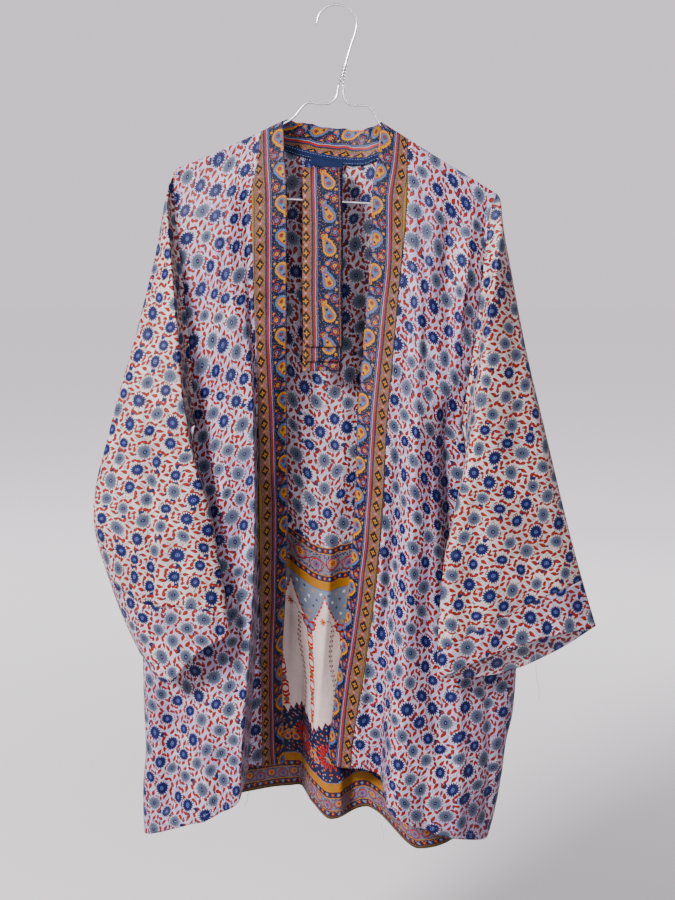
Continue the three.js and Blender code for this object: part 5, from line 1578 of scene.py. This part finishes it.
band_left = cloth("border_left", BL, band_uv(BL), ["border", "border_in"], (0, -1, 0), ["band_left_upper", "band_left_lower"],
                  "border_print", rests_on=["hanger_frame"], thick=1.0)
band_right = cloth("border_right", BR, band_uv(BR), ["border", "border_in"], (0, -1, 0), ["band_right_upper", "band_right_lower"],
                   "border_print", rests_on=["hanger_frame"], thick=1.0)
neck = cloth("border_neck", NB, band_uv(NB), ["border", "border"], (0, 1, 0), ["band_neck"], "border_print",
             rests_on=["hanger_frame"], thick=1.0)
belt = cloth("belt_folded", BELT, uv_of(BELT[..., 0] * 0 + np.linspace(0, BELT_W, BELT.shape[1])[None], arc(BELT, 0)),
             ["belt", "belt"], (0, -1, 0), ["belt"], "border_print", held="folded", rests_on=["back_panel"], thick=0.7)


def flatten(P, sgn, na, nb, rounds=60):
    """Lay the grid P flat with as little stretch as it takes: each of its triangles is
    turned in the plane to fit its neighbours, over and over. Opened along the first column."""
    ia = np.unique(np.round(np.linspace(0, P.shape[0] - 1, na)).astype(int))
    ib = np.unique(np.round(np.linspace(0, P.shape[1] - 1, nb)).astype(int))
    G = P[np.ix_(ia, ib)]
    n, m = G.shape[:2]
    X_ = G.reshape(-1, 3)
    k = np.arange(n * m).reshape(n, m)
    T = np.concatenate([np.stack([k[:-1, :-1], k[1:, :-1], k[1:, 1:]], -1).reshape(-1, 3),
                        np.stack([k[:-1, :-1], k[1:, 1:], k[:-1, 1:]], -1).reshape(-1, 3)])
    a, b, c = X_[T[:, 0]], X_[T[:, 1]], X_[T[:, 2]]
    e1, e2 = b - a, c - a
    l1 = np.linalg.norm(e1, axis=1) + 1e-9
    cx = (e2 * e1).sum(1) / l1
    cy = np.sqrt(np.maximum((e2 * e2).sum(1) - cx ** 2, 1e-6))
    L = np.zeros((len(T), 3, 2))
    L[:, 1, 0], L[:, 2, 0], L[:, 2, 1] = l1, cx, sgn * cy
    N = n * m
    A = np.zeros((N, N))
    edges = []
    for p, q, r in ((0, 1, 2), (1, 2, 0), (2, 0, 1)):
        u, v = L[:, p] - L[:, r], L[:, q] - L[:, r]
        w = np.clip((u * v).sum(1) / (np.abs(u[:, 0] * v[:, 1] - u[:, 1] * v[:, 0]) + 1e-6), 0.02, 8) / 2
        edges.append((p, q, w))
        np.add.at(A, (T[:, p], T[:, p]), w)
        np.add.at(A, (T[:, q], T[:, q]), w)
        np.add.at(A, (T[:, p], T[:, q]), -w)
        np.add.at(A, (T[:, q], T[:, p]), -w)
    A[0, 0] += 1e3
    inv = np.linalg.inv(A)
    uv = np.stack([sgn * arc(P, 0), arc(P, 1)], -1)[np.ix_(ia, ib)].reshape(-1, 2)
    uv = uv - uv[0]
    for _ in range(rounds):
        S = np.zeros((len(T), 2, 2))
        for p, q, w in edges:
            S += w[:, None, None] * (uv[T[:, p]] - uv[T[:, q]])[:, :, None] * (L[:, p] - L[:, q])[:, None, :]
        ang = np.arctan2(S[:, 1, 0] - S[:, 0, 1], S[:, 0, 0] + S[:, 1, 1])
        C, D = np.cos(ang), np.sin(ang)
        R = np.stack([np.stack([C, -D], -1), np.stack([D, C], -1)], 1)
        B = np.zeros((N, 2))
        for p, q, w in edges:
            v = w[:, None] * np.einsum("tij,tj->ti", R, L[:, p] - L[:, q])
            np.add.at(B, T[:, p], v)
            np.add.at(B, T[:, q], -v)
        uv = inv @ B
    F = uv.reshape(n, m, 2)
    rows = np.stack([[np.interp(np.arange(P.shape[0]), ia, F[:, j, c_]) for j in range(m)] for c_ in (0, 1)])
    full = np.stack([[np.interp(np.arange(P.shape[1]), ib, rows[c_, :, i]) for i in range(P.shape[0])] for c_ in (0, 1)], -1)
    return full


def turned(uv, deg):
    c_, s_ = math.cos(math.radians(deg)), math.sin(math.radians(deg))
    return np.stack([c_ * uv[..., 0] - s_ * uv[..., 1], s_ * uv[..., 0] + c_ * uv[..., 1]], -1)


def upright(P, uv, front):
    """Turn the flat piece so that the side that faces forward stands as it hangs."""
    s_ = np.stack([P[..., 0], -P[..., 2]], -1)[front]
    q = uv[front]
    s_, q = s_ - s_.mean(0), q - q.mean(0)
    ang = math.degrees(math.atan2((q[:, 0] * s_[:, 1] - q[:, 1] * s_[:, 0]).sum(), (q * s_).sum()))
    out = turned(uv, ang)
    return out - out[front].mean(0) + np.array([P[..., 0][front].mean(), -P[..., 2][front].mean()])


def flat_of(P, uv):
    """Sides of the smallest upright rectangle, at any turn, that the flat piece fits in."""
    best = None
    for deg in range(0, 90, 3):
        q = turned(uv, deg).reshape(-1, 2)
        w, l = np.ptp(q, axis=0) / 1000
        if best is None or w * l < best[0] * best[1]:
            best = (float(w), float(l))
    return best, min(flat_area(P), best[0] * best[1])


def tube_piece(name, P, sgn, mats, outward, nodes, slot, grain, nb=34):
    front = np.zeros(P.shape[:2], bool)
    n = P.shape[0]
    front[int(0.1 * n):int(0.4 * n), int(0.2 * P.shape[1]):] = True
    uv = upright(P, flatten(P, sgn, 38, nb), front)
    return cloth(name, P, turned(uv, grain), mats, outward, nodes, slot, ring=True, flat=flat_of(P, uv))


def out_of(P):
    c = P[:-1].mean(0, keepdims=True)
    return P - c


sleeve_left = tube_piece("sleeve_tube_left", SLV_L, 1, ["silk_warm", "silk_in"], out_of(SLV_L),
                         ["sleeve_left_upper", "sleeve_left_lower"], "silk_print_warm", 98)
sleeve_right = tube_piece("sleeve_tube_right", SLV_R, -1, ["silk_warm", "silk_in"], out_of(SLV_R),
                          ["sleeve_right_upper", "sleeve_right_lower"], "silk_print_warm", 102)


cuff_left = tube_piece("cuff_band_left", CUF_L, 1, ["silk_cuff", "silk_in"], out_of(CUF_L), ["cuff_left"], "silk_print", 96, 8)
cuff_right = tube_piece("cuff_band_right", CUF_R, -1, ["silk_cuff", "silk_in"], out_of(CUF_R), ["cuff_right"], "silk_print", -6, 8)

# ------------------------------------------------------------------ sewing
def on_face(P, i, outward, lift, ring=False):
    """The line of grid points i (an index across, or a slice down) raised off the cloth's face."""
    n = normals(P, ring)
    if (n * outward).sum() < 0:
        n = -n
    Q = P + n * lift
    return Q[i]


def column_at(P, mm):
    a = arc(P, 0)[:, P.shape[1] // 2]
    return int(np.argmin(np.abs(a - (mm if mm >= 0 else a[-1] + mm))))


def row_at(P, mm):
    a = arc(P, 1)
    return [int(np.argmin(np.abs(a[i] - (a[i, -1] - mm)))) for i in range(P.shape[0])]


def stitches(name, lines, mat, long=2.5, gap=1.5, r=0.21, seed=0):
    """One small bent bar a stitch, none quite like the next."""
    rnd = np.random.RandomState(seed)
    V, F, n = [], [], 0
    for L in lines:
        s = np.concatenate([[0], np.cumsum(np.linalg.norm(np.diff(L, axis=0), axis=1))])
        at = 1.5
        while at + long < s[-1] - 1.5:
            l = long * rnd.uniform(0.82, 1.12)
            t = np.array([at, at + l * 0.5, at + l])
            P = np.stack([np.interp(t, s, L[:, k]) for k in range(3)], -1)
            P[1] += (P[1] - (P[0] + P[2]) / 2) * 0.2
            P += rnd.uniform(-0.09, 0.09, 3)
            v, f = tube(P, [r * 0.6, r, r * 0.6], 4, cap=False)
            f = list(f) + [(3, 2, 1, 0), (8, 9, 10, 11)]
            V.append((v + OFF) / 1000)
            F.append(np.array(f) + n)
            n += len(v)
            at += l + gap * rnd.uniform(0.8, 1.3)
    return trim(name, np.concatenate(V), np.concatenate(F), [mat], smooth_shade=False)


front, behind = np.array([0, -1.0, 0]), np.array([0, 1.0, 0])
RAISE = 0.62
stitches("stitches_border_edge",
         [on_face(G, column_at(G, k), front, 0.66) for G in (BL, BR) for k in (2.2, -2.2)] +
         [on_face(NB, column_at(NB, k), front, 0.66) for k in (2.0, -2.0)], "thread_navy", seed=3)
stitches("stitches_tape", [on_face(TAPE, k, front, 0.42) for k in (1, TAPE.shape[0] - 2)], "thread_blue", long=2.0, gap=1.2, r=0.16, seed=5)


def hem_line(G, mm, outward, ring=False):
    Q = on_face(G, slice(None), outward, RAISE, ring)
    rows = row_at(G, mm)
    return np.stack([Q[i, rows[i]] for i in range(G.shape[0])])


stitches("stitches_hem_front", [hem_line(G, 8.0, front) for G in (FL, FR)], "thread_pale", seed=7)
stitches("stitches_hem_back", [hem_line(BK, 8.0, behind), hem_line(BK, 8.0, behind * -1.0)], "thread_pale", seed=9)


def stray(points, seed):
    """A loose end of thread: a slack, kinked line through a few points."""
    rnd = np.random.RandomState(seed)
    P = np.array(points, float)
    t = np.linspace(0, len(P) - 1, 40)
    Q = np.stack([across(P[:, k:k + 1], t) for k in range(3)], -1)
    Q += 0.5 * np.sin(t[:, None] * np.array([3.1, 4.7, 0.0]) + rnd.uniform(0, 6, 3)) * np.minimum(t[:, None], 1)
    return Q


ENDS = [
    ([(222.0, -58.5, -712), (222.7, -60.5, -720), (224.2, -61, -735), (226.9, -60, -754), (228.4, -59, -764), (230.0, -58, -774)], "thread_pale"),
    ([(-109.6, -5, -909), (-110.4, -6.5, -913), (-111.7, -7, -919.4), (-114.2, -6, -928.4)], "thread_pale"),
    ([(48.8, -63, -920), (49.3, -66, -924.1), (50.5, -67, -930.2), (51.7, -66, -938.8)], "thread_pale"),
]
V, F, n = [], [], 0
for k, (pts, _) in enumerate(ENDS):
    v, f = tube(stray(pts, k), np.linspace(0.24, 0.16, 40), 5, cap=False)
    V.append((v + OFF) / 1000)
    F.append(np.array(f) + n)
    n += len(v)
trim("loose_threads", np.concatenate(V), np.concatenate(F), ["thread_pale"])

# ------------------------------------------------------------------ stage
def plane(name, z, half):
    me = bpy.data.meshes.new(name)
    me.from_pydata([(-half, -half, z), (half, -half, z), (half, half, z), (-half, half, z)], [], [(0, 1, 2, 3)])
    me.materials.append(MATS["floor"])
    o = bpy.data.objects.new(name, me)
    bpy.context.scene.collection.objects.link(o)
    return o


plane("floor", -1.32, 60.0)
world = bpy.data.worlds.new("pale_room")
bpy.context.scene.world = world
world.use_nodes = True
bg = world.node_tree.nodes["Background"]
bg.inputs["Color"].default_value = (1.0, 0.90, 0.99, 1)
bg.inputs["Strength"].default_value = 0.98


def area(name, loc, aim, size, power, colour=(1, 1, 1)):
    d = bpy.data.lights.new(name, "AREA")
    d.shape, d.size, d.energy, d.color = "DISK", size, power, colour
    o = bpy.data.objects.new(name, d)
    bpy.context.scene.collection.objects.link(o)
    o.location = loc
    o.rotation_euler = (Vector(aim) - Vector(loc)).to_track_quat("-Z", "Y").to_euler()
    return o


area("key", (-1.8, -1.95, 1.15), (0, 0, -0.45), 0.8, 540, (1.0, 0.985, 0.97))
area("fill", (0.4, -2.5, 0.25), (0, 0, -0.4), 0.8, 34, (0.96, 0.97, 1.0))
area("rim", (0.6, 2.2, 1.0), (0, 0, -0.4), 1.4, 80)

cam = bpy.data.cameras.new("camera")
cam_o = bpy.data.objects.new("camera", cam)
bpy.context.scene.collection.objects.link(cam_o)
cam.sensor_width = 36.0
cam.lens = 46.0
cam_o.location = (0.0, -1.3242, -0.3087)
cam_o.rotation_euler = (math.radians(82.0), 0.0, 0.0)
cam.clip_end = 200
bpy.context.scene.camera = cam_o
